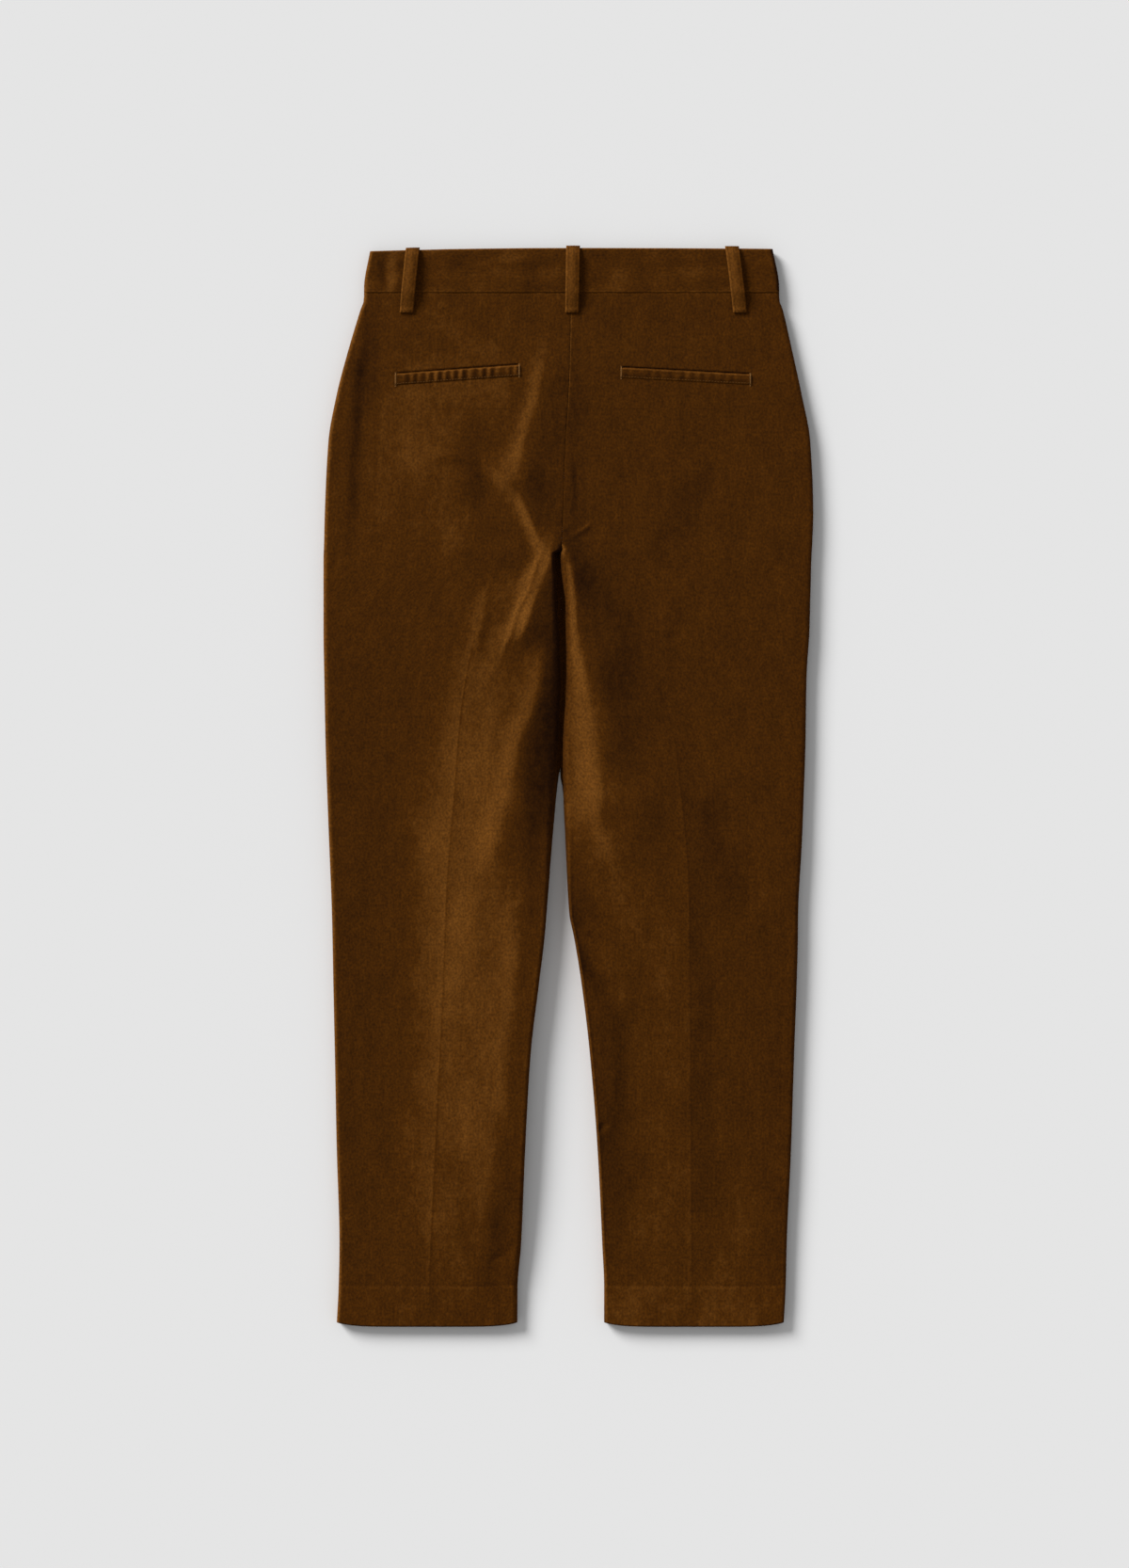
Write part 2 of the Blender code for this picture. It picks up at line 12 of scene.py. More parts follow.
import bmesh
import bpy
import numpy as np
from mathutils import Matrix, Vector


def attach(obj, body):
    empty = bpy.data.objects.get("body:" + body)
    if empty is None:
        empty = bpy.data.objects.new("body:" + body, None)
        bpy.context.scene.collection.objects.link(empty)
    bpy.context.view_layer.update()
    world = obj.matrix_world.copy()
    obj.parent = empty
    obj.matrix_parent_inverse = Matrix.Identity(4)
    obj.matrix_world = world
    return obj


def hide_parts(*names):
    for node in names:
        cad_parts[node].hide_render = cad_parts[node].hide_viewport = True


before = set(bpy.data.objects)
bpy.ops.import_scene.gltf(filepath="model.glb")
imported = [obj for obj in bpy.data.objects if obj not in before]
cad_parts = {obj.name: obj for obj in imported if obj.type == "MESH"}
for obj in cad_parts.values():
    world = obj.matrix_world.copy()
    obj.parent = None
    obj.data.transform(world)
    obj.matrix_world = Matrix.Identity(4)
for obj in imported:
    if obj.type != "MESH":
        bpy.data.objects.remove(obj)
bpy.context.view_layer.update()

MM = 0.001                  # sizes below are in millimetres, meshes in metres
LEFT = "left"
RIGHT = "right"
SIDES = (LEFT, RIGHT)
OUTWARD = {LEFT: -1.0, RIGHT: 1.0}          # direction in x, away from the middle
BODY = "root"

# ---- driving sizes
OUTSEAM = 1002.0            # waist edge to hem
BAND_DEPTH = 41.5           # finished depth of the waistband
CROTCH_DOWN = 280.0         # waist edge to the crotch point
CROTCH_DIVE = 8.0           # length over which the seat seam turns under
HEM_DEPTH = 38.0            # turn-up of the hem
HEM_LINE = OUTSEAM - HEM_DEPTH
HEM_SAG = 4.0               # middle of a hem below its corners
HEM_CORNER = 6              # power that keeps the sag to the corners
WAIST_DIP = {LEFT: 3.0, RIGHT: 0.8}     # ends of the waist edge below the centre back
CLOTH = 1.3                 # one layer of corduroy
BAND_CLOTH = 1.9            # waistband, two pressed layers and interlining
BAND_PROUD = 0.6            # waistband above the panel it is sewn to
BAND_PROUD_INSIDE = 0.4     # share of it by which its inner face is raised
HEM_CLOTH = 2.6             # hem, two layers
SEAM_GAP = 0.3              # clearance between sewn pieces
EDGE_ROUND = 1.4            # how far in a folded edge starts to round over
FLY_LAP = 9.0               # lap edge past the centre front
FLY_END = 205.0             # foot of the fly below the waist edge
FLY_BLEND = 30.0            # length over which the lap runs back to the centre
FLY_STITCH = 33.0           # width of the stitched fly facing
CLOSED_TO = 470.0           # the fronts' inner edges touch from the crotch to here
CLOSED_START = 1.0          # length over which they meet below the crotch
CLOSED_BLEND = 45.0         # length over which they part
TOUCH_GAP = 0.03            # between the two edges that touch

LOOP_WIDTH = 13.0
LOOP_CLOTH = 1.6
LOOP_END_CLOTH = 2.4        # lower end, turned under
LOOP_LENGTH = 62.0
OFF_BAND = 5.0              # length over which a loop steps down from the band
LOOP_OVER = 1.7             # loop above the waist edge
LOOP_FLAT = 1.7             # front loops, pressed flat
LOOP_FRONT_OVER = 0.5       # front loops above the waist edge
LOOP_TURNED = 50.0          # where the turned end starts, below the waist edge
LOOP_END_DROP = 0.8         # rounding of that end
LOOP_END_ROUND = 1.2
LOOP_WAVE = 0.12            # unevenness of a back loop's outer face

WELT_LIFT = 0.5             # clearance between a welt and the panel it lies on
WELT_CLOTH = 1.2
PANEL_GATHER = 0.35         # share of a welt's gathers that the panel under it shows

BUTTON_DOWN = 20.0
BUTTON_HOLE_SPACING = 1.7   # from the button's axes to a hole's centre
BUTTON_THREAD_Z = 0.35      # height of the thread between its holes

MIDDLE_DOWN = (OUTSEAM - LOOP_OVER) / 2.0   # y = 0 is this far below the waist edge

# ---- sections
# One row a section. The four edges are measured from the middle of the garment; above the
# crotch both inner edges are the centre back seam.
Section = namedtuple("Section", "down left_out left_in right_in right_out")
SECTIONS = [Section(*row) for row in (
    (0, -184.5, 4.0, 4.0, 190.0),
    (37, -190.0, 3.0, 3.0, 196.0),
    (47, -190.0, 2.8, 2.8, 196.0),
    (58, -193.5, 2.3, 2.3, 199.5),
    (93, -204.0, 1.6, 1.6, 207.5),
    (137, -215.5, 0.0, 0.0, 217.0),
    (180, -223.0, -2.8, -2.8, 224.8),
    (246, -226.3, -5.2, -5.2, 227.5),
    (280, -227.2, -6.3, -6.3, 226.3),
    (284, -227.4, -12.2, -7.6, 226.0),
    (294, -227.5, -12.2, -7.2, 225.6),
    (311, -227.5, -11.2, -5.2, 225.2),
    (329, -227.5, -10.6, -2.8, 224.7),
    (355, -227.5, -8.8, -2.4, 224.0),
    (399, -226.8, -7.4, -1.8, 221.3),
    (465, -225.5, -9.7, -5.2, 220.2),
    (508, -224.0, -11.4, -4.6, 218.7),
    (552, -222.3, -15.0, -2.7, 217.0),
    (618, -219.7, -20.2, 0.8, 213.5),
    (640, -219.2, -22.0, 5.2, 213.3),
    (683, -218.4, -27.2, 12.2, 212.2),
    (749, -217.0, -35.0, 20.0, 209.8),
    (836, -215.3, -40.0, 27.0, 207.0),
    (924, -212.8, -43.8, 31.4, 203.0),
    (968, -213.6, -47.2, 33.2, 202.0),
    (1002, -215.3, -47.4, 33.2, 200.3),
)]

# Heights of a section: the underside, the outer seams, the inner seams of the left and
# of the right leg, and the top. The rolls are the widths over which the cloth turns round
# the outer edges and round the two inner ones.
Profile = namedtuple("Profile", "down bed edge_out edge_left edge_right top roll_out roll_left roll_right")
PROFILES = [Profile(*row) for row in (
    (0, 2.3, 7.4, 6.3, 6.3, 10.6, 3.8, 8.0, 8.0),
    (66, 2.3, 8.4, 6.6, 6.6, 11.3, 4.5, 8.0, 8.0),
    (120, 0.0, 9.2, 6.2, 6.4, 12.2, 4.8, 9.0, 9.0),
    (200, 0.0, 10.0, 5.4, 6.2, 12.8, 5.0, 10.0, 9.0),
    (280, 0.0, 10.4, 6.4, 6.0, 13.4, 5.0, 4.0, 5.0),
    (330, 0.0, 10.4, 6.0, 6.0, 13.6, 5.0, 5.0, 5.0),
    (395, 0.0, 10.4, 4.8, 6.0, 13.4, 5.0, 9.0, 6.0),
    (470, 0.0, 10.3, 5.6, 6.0, 13.2, 5.0, 12.0, 8.0),
    (560, 0.0, 10.2, 12.5, 11.0, 12.9, 4.8, 6.0, 5.0),
    (620, 0.0, 10.0, 15.5, 12.0, 12.6, 4.6, 4.0, 3.0),
    (800, 0.0, 9.4, 15.0, 10.8, 11.8, 4.4, 4.0, 3.0),
    (900, 0.0, 9.1, 10.5, 9.8, 11.6, 4.2, 4.5, 3.0),
    (964, 0.0, 8.8, 8.0, 8.8, 11.4, 4.0, 5.5, 4.0),
    (1002, 0.0, 8.2, 6.6, 7.6, 11.2, 4.0, 5.5, 5.0),
)]

# The pressed crease of each leg. The wales of a panel run along it.
Pressed = namedtuple("Pressed", "down left right")
PRESSED = [Pressed(*row) for row in (
    (0, -52.0, 66.0),
    (200, -57.0, 75.0),
    (297, -67.4, 80.0),
    (332, -80.6, 82.5),
    (367, -88.4, 85.0),
    (393, -93.7, 87.0),
    (428, -99.3, 90.9),
    (463, -102.7, 99.7),
    (501, -105.1, 104.0),
    (550, -109.4, 109.2),
    (598, -112.9, 112.0),
    (682, -116.0, 112.8),
    (839, -123.4, 113.9),
    (942, -128.2, 114.6),
    (1002, -129.5, 115.0),
)]

# ---- folds of the back
# One row a fold, from (x, down) to (to_x, to_down). "bow" moves its middle sideways,
# "west" and "east" are its half widths on the -X and +X side, and a trough has a
# negative height. Folds that run level have north for east.
Fold = namedtuple("Fold", "name x down to_x to_down bow west east height")
FOLDS = [Fold(*row) for row in (
    ("seat ridge beside the seam", -19, 76, -60, 232, 7, 8, 36, 1.2),
    ("seat ridge to the crotch", -77, 190, -9, 305, 6, 7, 28, 2.8),
    ("hollow under the cheek", -88, 208, -54, 290, 0, 20, 20, -0.8),
    ("cheek swell", -134, 146, -50, 310, 0, 44, 28, 1.5),
    ("left hip trough", -186, 60, -199, 290, 1, 6, 30, -0.9),
    ("left upper thigh ridge", -5, 256, -50, 384, 0, 9, 25, 2.5),
    ("left second thigh ridge", -22, 280, -62, 380, 0, 7, 13, 0.8),
    ("left thigh swell", -12, 350, -82, 620, 0, 60, 40, 2.2),
    ("left thigh ridge", -9, 336, -78, 596, 0, 13, 28, 2.2),
    ("left inner fall", 6, 342, -8, 560, 0, 34, 20, -3.4),
    ("left leg rise", -30, 420, -82, 1010, 9, 64, 200, 8.5),
    ("left calf ridge", -43, 560, -86, 1000, 6, 14, 14, 0.5),
    ("right rim ridge", -1, 262, 20, 430, 0, 6, 30, 2.5),
    ("right inner ridge", 12, 330, 46, 590, -3, 12, 46, 2.6),
    ("right knee trough", 0, 612, 52, 706, -5, 10, 12, -1.2),
    ("right calf trough", 52, 640, 66, 1010, 0, 20, 30, -1.3),
    ("right crease ridge", 108, 560, 115, 985, 3, 26, 14, 0.7),
    ("right outer trough", 126, 500, 178, 632, 4, 15, 30, -0.9),
)]

# Small folds, which only the fine shell carries.
WRINKLES = [Fold(*row) for row in (
    ("line under the cheek", -134, 197, -60, 204, 3, 2.4, 9, 0.35),
    ("left welt corner", -162, 95, -142, 106, 0, 2.2, 2.6, 0.25),
    ("left thigh line", -17, 263, -68, 395, 0, 1.8, 2.8, 0.5),
    ("left fan three", -74, 312, -87, 384, 0, 6, 6, 0.35),
    ("left knee pinch", -55, 608, -30, 617, 1, 2.6, 3.2, 0.4),
    ("right crotch dash", 4, 268, 22, 255, 1, 2.0, 2.4, 0.35),
    ("right knee line", 2, 547, 46, 550, -1, 2.0, 2.4, 0.25),
    ("right knee kink", 3, 622, 22, 640, -2, 3, 3, 0.5),
    ("right thigh dimple", 94, 359, 108, 361, 0, 2.8, 2.8, -0.3),
    ("left hem line", -75, 942, -48, 922, 2, 3, 4, -0.2),
    ("left hem dent", -216, 897, -204, 900, 0, 3.5, 3.5, -0.25),
    ("right hem inner dent", 27, 818, 38, 812, 0, 3, 3, -0.5),
)]

BAND_FOLDS = [
    Fold("level trough", -140, 21, 0, 21, 0, 5, 7, -0.30),
    Fold("level trough, right", 12, 18, 150, 19, 0, 6, 7, -0.22),
    Fold("left end fold", -172, 2, -168, 44, 0, 4, 5, -0.5),
    Fold("left end swell", -158, 0, -160, 46, 0, 5, 5, 0.35),
    Fold("centre swell", -40, 0, -44, 50, 0, 22, 16, 0.5),
]

FOLD_ENDS = 0.3             # share of a fold's length over which each end fades

# Waves of laid cloth: how strong, the seed of their draws, how many, and their lengths.
Waves = namedtuple("Waves", "amount seed count shortest longest")
PANEL_WAVES = Waves(0.05, 11, 14, 30.0, 90.0)
FINE_WAVES = Waves(0.012, 12, 14, 7.0, 16.0)
BAND_WAVES = Waves(0.16, 21, 10, 24.0, 70.0)
BAND_SQUEEZE = 1.4          # the band's waves are shorter by this along the garment
FOLD_WANDER = Waves(2.2, 31, 7, 45.0, 110.0)
WRINKLE_WANDER = Waves(0.9, 31, 7, 16.0, 40.0)
NAP_WANDER = Waves(5.0, 31, 7, 30.0, 90.0)

# ---- nap, with painted light and shade
# The nap's tone is 0 where the cloth looks darkest, 1 where it looks lightest, and it holds painted
# light and shade besides the pile's own tone. These rows add to the tone that a slope gives, and are laid
# out as folds are: some are brushed nap, and some paint shade in hollows and on slopes turned from the
# key light and light on slopes that face it.
Brush = namedtuple("Brush", "name x down to_x to_down bow west east tone")
BRUSHED_AND_SHADED = [Brush(*row) for row in (
    ("waist stripe", -140, 54, -55, 107, 0, 11, 11, 0.06),
    ("left hip upper", -182, 49, -189, 165, 0, 10, 9, -0.16),
    ("beside the seat seam", -10, 44, -9, 210, 0, 7, 6, -0.07),
    ("left seat", -166, 122, -36, 122, 0, 42, 22, 0.09),
    ("below the left welt", -168, 132, -42, 127, 0, 12, 12, 0.07),
    ("cheek band", -172, 136, -76, 296, 0, 24, 18, 0.06),
    ("left upper middle", -56, 286, -106, 520, 0, 26, 26, 0.13),
    ("left middle", -97, 340, -98, 952, 0, 54, 42, -0.01),
    ("left lower middle", -97, 640, -98, 1060, 0, 54, 42, -0.03),
    ("left outer third", -186, 300, -186, 1010, 0, 60, 44, -0.065),
    ("left knee", -136, 510, -122, 730, 0, 12, 36, 0.1),
    ("left inner calf", -49, 610, -62, 940, 0, 10, 36, 0.11),
    ("left outer calf", -136, 790, -132, 880, 0, 16, 30, -0.07),
    ("left inner hem", -57, 890, -56, 1060, 0, 8, 40, 0.1),
    ("left hem middle", -104, 910, -100, 990, 0, 20, 26, 0.1),
    ("left hem", -230, 985, -40, 985, 0, 22, 20, 0.05),
    ("right of the seat seam", 4, 57, 6, 189, 0, 4, 7, -0.08),
    ("notch right of the seam", 4, 192, 7, 256, 0, 3, 5, -0.18),
    ("right seat slope", 131, 196, 76, 302, 0, 15, 15, -0.11),
    ("wedge beside the crotch", 8, 258, 34, 372, 0, 9, 22, -0.02),
    ("below the right of the crotch", 6, 276, 60, 400, 0, 8, 28, -0.03),
    ("right inner thigh", 44, 470, 60, 700, 0, 20, 40, 0.12),
    ("right inner knee", 24, 530, 31, 640, 0, 9, 30, 0.14),
    ("right inner calf", 14, 645, 44, 870, 0, 11, 40, 0.09),
    ("right calf beside the crease", 78, 750, 82, 870, 0, 14, 30, -0.06),
    ("right lower leg", 126, 540, 126, 1120, 0, 72, 66, 0.11),
    ("right inner hem", 37, 840, 40, 1060, 0, 9, 30, 0.2),
    ("right outer hem", 134, 840, 134, 1060, 0, 10, 40, 0.08),
    ("right hem", 20, 985, 220, 985, 0, 22, 20, 0.04),
)]
BRUSH_ENDS = 0.2            # share of its length over which each end fades
PANEL_TONE = {LEFT: 0.44, RIGHT: 0.40}
BAND_TONE = 0.45
INSIDE_TONE = 0.4
LIT_SIDE = np.array([-0.88, 0.47, 0.0])     # level direction toward the key light; cloth sloping to it is painted lighter
SLOPE_SHADE_TURN = 0.17                             # slope, as a sine, that gives most of the painted slope shade
SLOPE_SHADE_MOST = 0.5                            # most painted light that a slope adds to the tone, and most painted shade it takes off
WELT_TONE = 0.03                            # a welt's own, above its panel's
# the same painted slope shade, on the welts
WELT_SLOPE_SHADE_TURN = 0.18
WELT_SLOPE_SHADE_MOST = 0.33

# Painted light and shade on the panels' folded edges. A row starts at "down" and is full a length below
# it;
# with a length below 0 it ends there instead, and is full that length above it.
EdgeNap = namedtuple("EdgeNap", "edge down length width tone")
EDGE_LIGHT_AND_SHADE = [
    # painted light on edges that turn away from the key light
    EdgeNap("left_in", 430.0, 90.0, 2.8, 0.45),
    EdgeNap("right_out", 0.0, 1.0, 2.8, 0.45),
    # painted shade in the slit below the crotch, lighter lower down the same edge, and a lighter line
    # along the seat seam
    EdgeNap("right_in", CROTCH_DOWN, 12.0, 3.6, -0.6),
    EdgeNap("right_in", 540.0, 140.0, 3.6, 0.25),
    EdgeNap("right_in", 190.0, -50.0, 1.1, 0.3),
]
# Lines of tone, painted light and shade among them, along a crease, a hem line or an edge: how far east of
# it or below it.
LineNap = namedtuple("LineNap", "aside width tone")
# painted shade in a fine line on the crease; painted light and shade across the hem line
CREASE_SHADE_LINE = LineNap(0.0, 0.9, -0.13)
HEM_LIGHT_AND_SHADE = [LineNap(2.0, 1.8, 0.03), LineNap(-0.8, 1.2, -0.04)]
WELT_LIP_LIGHTER = LineNap(0.9, 0.6, 0.14)          # lighter line along a welt's upper edge
WELT_FOOT_LIGHTER = LineNap(-0.4, 1.1, 1.0)         # and along its lower edge, times the welt's own share
BAND_EDGE_HIGHLIGHT = LineNap(-0.7, 0.9, 0.42)        # and a painted highlight along the band's folded lower edge
BAND_HIGHLIGHT_KEEPS = 0.4                       # share of its own tone that stays under that painted highlight

# ---- sewn-on pieces
# A loop runs from its upper to its lower middle; a welt from its inner to its outer end.
Loop = namedtuple("Loop", "name x to_x")
BACK_LOOPS = [
    Loop("loop_back_left", -144.4, -150.2),
    Loop("loop_back_centre", 4.4, 3.4),
    Loop("loop_back_right", 151.8, 159.4),
]
FRONT_LOOPS = [
    Loop("loop_front_left", -90.0, -92.0),
    Loop("loop_front_right", 96.0, 98.5),
]
# Height of a back loop's underside above the cloth, along its length.
Arch = namedtuple("Arch", "down rise")
LOOP_ARCH = [Arch(*row) for row in (
    (-1.7, 0.5), (1.5, 2.0), (6.0, 4.2), (12.0, 4.8), (26.0, 5.0),
    (40.0, 4.8), (47.0, 4.1), (52.0, 2.3), (55.5, 0.8), (60.3, 0.5),
)]

# Cross section of a loop: corners, then the ribs and grooves of its outer face.
LOOP_CORNER = (-60, -20, 20, 60)            # degrees of the round at each edge
LOOP_CROWN = 0.22                           # rise of its middle and depth of its grooves
LOOP_GROOVE = 4.1                           # from its middle to each groove
LOOP_BED = 0.4                              # its underside is narrower by this on both sides
LOOP_TONE = 0.68                            # nap in its middle

Welt = namedtuple("Welt", "name x down to_x to_down depth puckers pucker_height worn_foot")
WELTS = [
    Welt("welt_left", -46.5, 109.2, -159.5, 117.5, 10.0, 14, 0.42, 0.34),
    Welt("welt_right", 50.0, 111.7, 168.0, 118.0, 9.2, 12, 0.18, 0.44),
]

# How full a welt stands: (distance, share) below its upper edge and above its lower edge.
WELT_UPPER = [(0.0, 0.35), (0.25, 0.8), (0.8, 1.0), (2.0, 0.98), (3.4, 0.98), (4.8, 0.96), (6.0, 0.9)]
WELT_LOWER = [(2.4, 0.8), (1.4, 0.64), (0.6, 0.46), (0.2, 0.3), (0.0, 0.15)]

# ---- fine sizes
# Relief or nap along a line: how strong on it, and the width over which it fades.
Fade = namedtuple("Fade", "height width")
CREASE_RIDGE = Fade(0.03, 1.4)
CREASE_SWELL = Fade(0.18, 9.0)              # low swell on both sides of it
CREASE_WEST_LIGHT = Fade(0.05, 9.0)           # painted light on the -X side of a crease, which faces the key light
SEAM_DIP = Fade(-0.08, 0.8)                 # along the centre back seam
SEAM_PUCKER = Fade(0.04, 5.0)               # small puckers beside it
BAND_TUCK = Fade(-0.15, 1.3)                # dip of the panels along the band

# Where a crease starts to show, where it is full, and how much of its height it has.
Crease = namedtuple("Crease", "starts full share")
CREASES = {LEFT: Crease(292.0, 400.0, 1.0), RIGHT: Crease(385.0, 520.0, 0.75)}
CREASE_FADE = 60.0          # length over which it ends, a little past the hem
CREASE_UNEVEN = 0.15        # share by which its height goes up and down
CREASE_WAVE = 23.0

SEAM_END = 10.0             # length over which the seam's relief ends at the crotch
PUCKER_PITCH = 10.5
HEM_STEP = 0.12             # step at the upper edge of the turn-up
HEM_STEP_OVER = 1.5         # how far above that edge it starts
HEM_STEP_LENGTH = 5.0
HEM_GROOVE = 0.03           # its blind-stitch line, and as much again at each stitch
HEM_GROOVE_WIDTH = 1.3
FOLD_DROP = 1.1             # how far a folded edge rounds over
SEWN_DROP = 0.25            # how far the band's sewn lower edge does
SEWN_ROUND = 0.9
WELT_SLIT = 0.9             # depth of a pocket's opening
WELT_SLIT_WIDTH = 0.6
WELT_ENDS = 0.012           # share of a welt's length over which its opening ends
GATHER_REACH = 7.0          # how far a welt's gathers run out below it

# ---- sewing
# Lengths, gaps and widths in millimetres; a gap below 0 lays the stitches over each other.
Sewing = namedtuple("Sewing", "name length gap width slant seed")
SEAT_SEWING = Sewing("stitches_seat_seam", 1.5, 2.6, 0.4, 0.9, 1)
TACK_SEWING = Sewing("stitches_bar_tacks", 1.9, -1.45, 0.5, 1.45, 2)
WELT_SEWING = Sewing("stitches_welts", 2.4, 0.3, 0.26, 0.0, 3)
HEM_SEWING = Sewing("stitches_hems", 0.9, 6.1, 0.32, 0.5, 4)
FLY_SEWING = Sewing("stitches_fly", 2.6, 0.6, 0.45, 0.0, 5)
BUTTON_SEWING = Sewing("stitches_button", 1.2, -0.5, 0.6, 0.0, 6)
UNEVEN_STITCHES = 0.15      # share by which a stitch may be smaller
SEAT_STITCHES = (20.0, 62.0)    # the seat seam's show from here to there below the band
SEAT_STITCH_SUNK = 0.45     # how deep they lie between the two panels
TACK_INSET = 0.9            # bar tack from the end of a welt
TACK_OVER = 1.4             # how far a bar tack runs past a welt's edges
TACK_BED = 0.35             # lift of its ends, on the panel
TACK_RISE = 1.2             # and what it rises to pass over the welt
WELT_STITCH_INSET = 1.2     # edge stitches from a welt's lower edge
WELT_STITCH_SWELL = 0.58    # how full the welt stands there
HEM_STITCH_INSET = 9.0      # blind stitches from a leg's edges
FLY_ROW_INSET = 27.0        # fly stitches from the centre front
FLY_START = 4.0             # and below the band
FLY_TURN = 40.0             # foot of the fly below the start of their curve
FLY_CURVE = (0.86, 0.9)     # share of the facing's width and of that length that it takes
STITCH_LIFT = 0.12          # stitches above the cloth, or pulled into it at a hem

# ---- colours (linear, with alpha)
# the cloth's colour in painted shade, on the flat and in painted light; the nap tone, random mottle
# included, runs between them
SHADED_NAP_COLOUR = (0.0150, 0.0043, 0.0005, 1.0)
NAP_MIDDLE = (0.0620, 0.0193, 0.0012, 1.0)
LIT_NAP_COLOUR = (0.1500, 0.0545, 0.0075, 1.0)
THREAD = (0.2300, 0.1050, 0.0260, 1.0)
THREAD_DARK = (0.1610, 0.0735, 0.0182, 1.0)
HORN_DARK = (0.0200, 0.0100, 0.0045, 1.0)
HORN_LIGHT = (0.0900, 0.0480, 0.0220, 1.0)
SHEEN_TINT = (0.45, 0.17, 0.04, 1.0)
FLOOR = 0.80
WALE_PITCH = 1.15 * MM

# ---- studio
FLOOR_BRIGHTNESS = 0.783    # radiance of the open floor
FILL_SHARE = 0.40           # part of it that comes from all round
LIGHT_HEIGHT = math.radians(29)
LIGHT_SIZE = math.radians(25)
CAMERA_DISTANCE = 3.0
FRAME_LENGTH = 1.458        # length of the view at the garment
FRAME_MIDDLE = (-0.0036, 0.0023)
SENSOR = 36.0
EDGE_LEVEL = 0.0065         # height of the outline above the floor
FLOOR_REACH = 4.0


# ---- curves and heights
class Curve:
    """A smooth curve through one column of a table, which never overshoots its rows."""

    def __init__(self, rows, column):
        self.place = np.array([row.down for row in rows], dtype=float)
        self.value = np.array([getattr(row, column) for row in rows], dtype=float)
        self.step = np.diff(self.place)
        slope = np.diff(self.value) / self.step
        self.tangent = np.zeros(len(rows))
        self.tangent[0] = slope[0]
        self.tangent[-1] = slope[-1]
        for row in range(1, len(rows) - 1):
            before, after = slope[row - 1], slope[row]
            if before * after > 0:
                self.tangent[row] = 2.0 * before * after / (before + after)

    def __call__(self, down):
        down = np.clip(down, self.place[0], self.place[-1])
        row = np.clip(np.searchsorted(self.place, down) - 1, 0, len(self.step) - 1)
        step = self.step[row]
        t = (down - self.place[row]) / step
        ease = t * t * (3.0 - 2.0 * t)
        rise_out = t * (1.0 - t) ** 2 * step * self.tangent[row]
        rise_in = t * t * (t - 1.0) * step * self.tangent[row + 1]
        return self.value[row] * (1.0 - ease) + self.value[row + 1] * ease + rise_out + rise_in


EDGE = {name: Curve(SECTIONS, name) for name in Section._fields[1:]}
HEIGHT = {name: Curve(PROFILES, name) for name in Profile._fields[1:]}
CREASE = {side: Curve(PRESSED, side) for side in SIDES}
ARCH_RISE = Curve(LOOP_ARCH, "rise")


def smooth_step(value):
    """0 below 0, 1 above 1 and a soft S between."""
    value = np.clip(value, 0.0, 1.0)
    return value * value * (3.0 - 2.0 * value)


def hump(distance, width):
    """A soft hump: 1 in its middle, and 1/e at its width on both sides."""
    return np.exp(-((distance / width) ** 2))


def fading(fade, distance):
    return fade.height * np.exp(-distance / fade.width)


def across_row(row, x, down):
    """Share of the way along a table row, and the distance aside over its half width."""
    run = np.array([row.to_x - row.x, row.down - row.to_down], dtype=float)
    length = math.hypot(run[0], run[1])
    along = run / length
    east = np.array([-along[1], along[0]])
    if east[0] < 0:
        east = -east
    from_start = (x - row.x, row.down - down)
    t = (from_start[0] * along[0] + from_start[1] * along[1]) / length
    aside = from_start[0] * east[0] + from_start[1] * east[1]
    aside = aside - row.bow * 4.0 * t * (1.0 - t)
    return t, aside / np.where(aside > 0, row.east, row.west)


def row_sum(rows, x, down, ends, power):
    """Sum of a table's last column, spread over its rows' places with soft ends and sides."""
    total = np.zeros(np.broadcast(x, down).shape)
    for row in rows:
        t, aside = across_row(row, x, down)
        fade = smooth_step(t / ends) * smooth_step((1.0 - t) / ends)
        total = total + row[-1] * fade * np.exp(-(aside ** power))
    return total


def fold_sum(folds, x, down):
    """Sum of a table of folds at places on the back: soft ridges and troughs."""
    return row_sum(folds, x, down, FOLD_ENDS, 2)


def brushed_and_shaded_sum(x, down):
    """Sum of the brushed places and the places of painted shade and light: even over their width, with
    soft edges.
    """
    return row_sum(BRUSHED_AND_SHADED, x, down, BRUSH_ENDS, 4)


def unevenness(x, down, waves):
    """Slight waviness of laid cloth, about its waves' amount up and down."""
    draw = np.random.default_rng(waves.seed)
    total = np.zeros(np.broadcast(x, down).shape)
    for _ in range(waves.count):
        angle = draw.uniform(0.0, math.pi)
        length = draw.uniform(waves.shortest, waves.longest)
        phase = draw.uniform(0.0, 2.0 * math.pi)
        along = (x * math.cos(angle) + down * math.sin(angle)) * 2.0 * math.pi / length
        total = total + np.sin(along + phase)
    return waves.amount * (total / math.sqrt(waves.count))


def wandering(x, down, waves):
    """The same places moved a little, so that no fold runs quite straight or even."""
    along = waves._replace(seed=waves.seed + 1)
    return x + unevenness(x, down, waves), down + unevenness(x, down, along)


def edges(side, down):
    """Outer and inner edge of one side of the garment."""
    return EDGE[side + "_out"](down), EDGE[side + "_in"](down)


def roll(distance, width):
    """Turn from 0 at an edge to 1 at its width, squarer than a quarter round."""
    inside = np.clip(1.0 - distance / width, 0.0, 1.0)
    return np.cbrt(1.0 - inside ** 3)


def toward_side(side, x, down):
    """0 on the inner edge of a side and 1 on its outer edge."""
    outer, inner = edges(side, down)
    return np.clip((x - inner) / (outer - inner), 0.0, 1.0)


def seam_height(side, x, down):
    """Height at which the back and the front meet."""
    inner_seam = HEIGHT["edge_" + side](down)
    return inner_seam + (HEIGHT["edge_out"](down) - inner_seam) * toward_side(side, x, down)


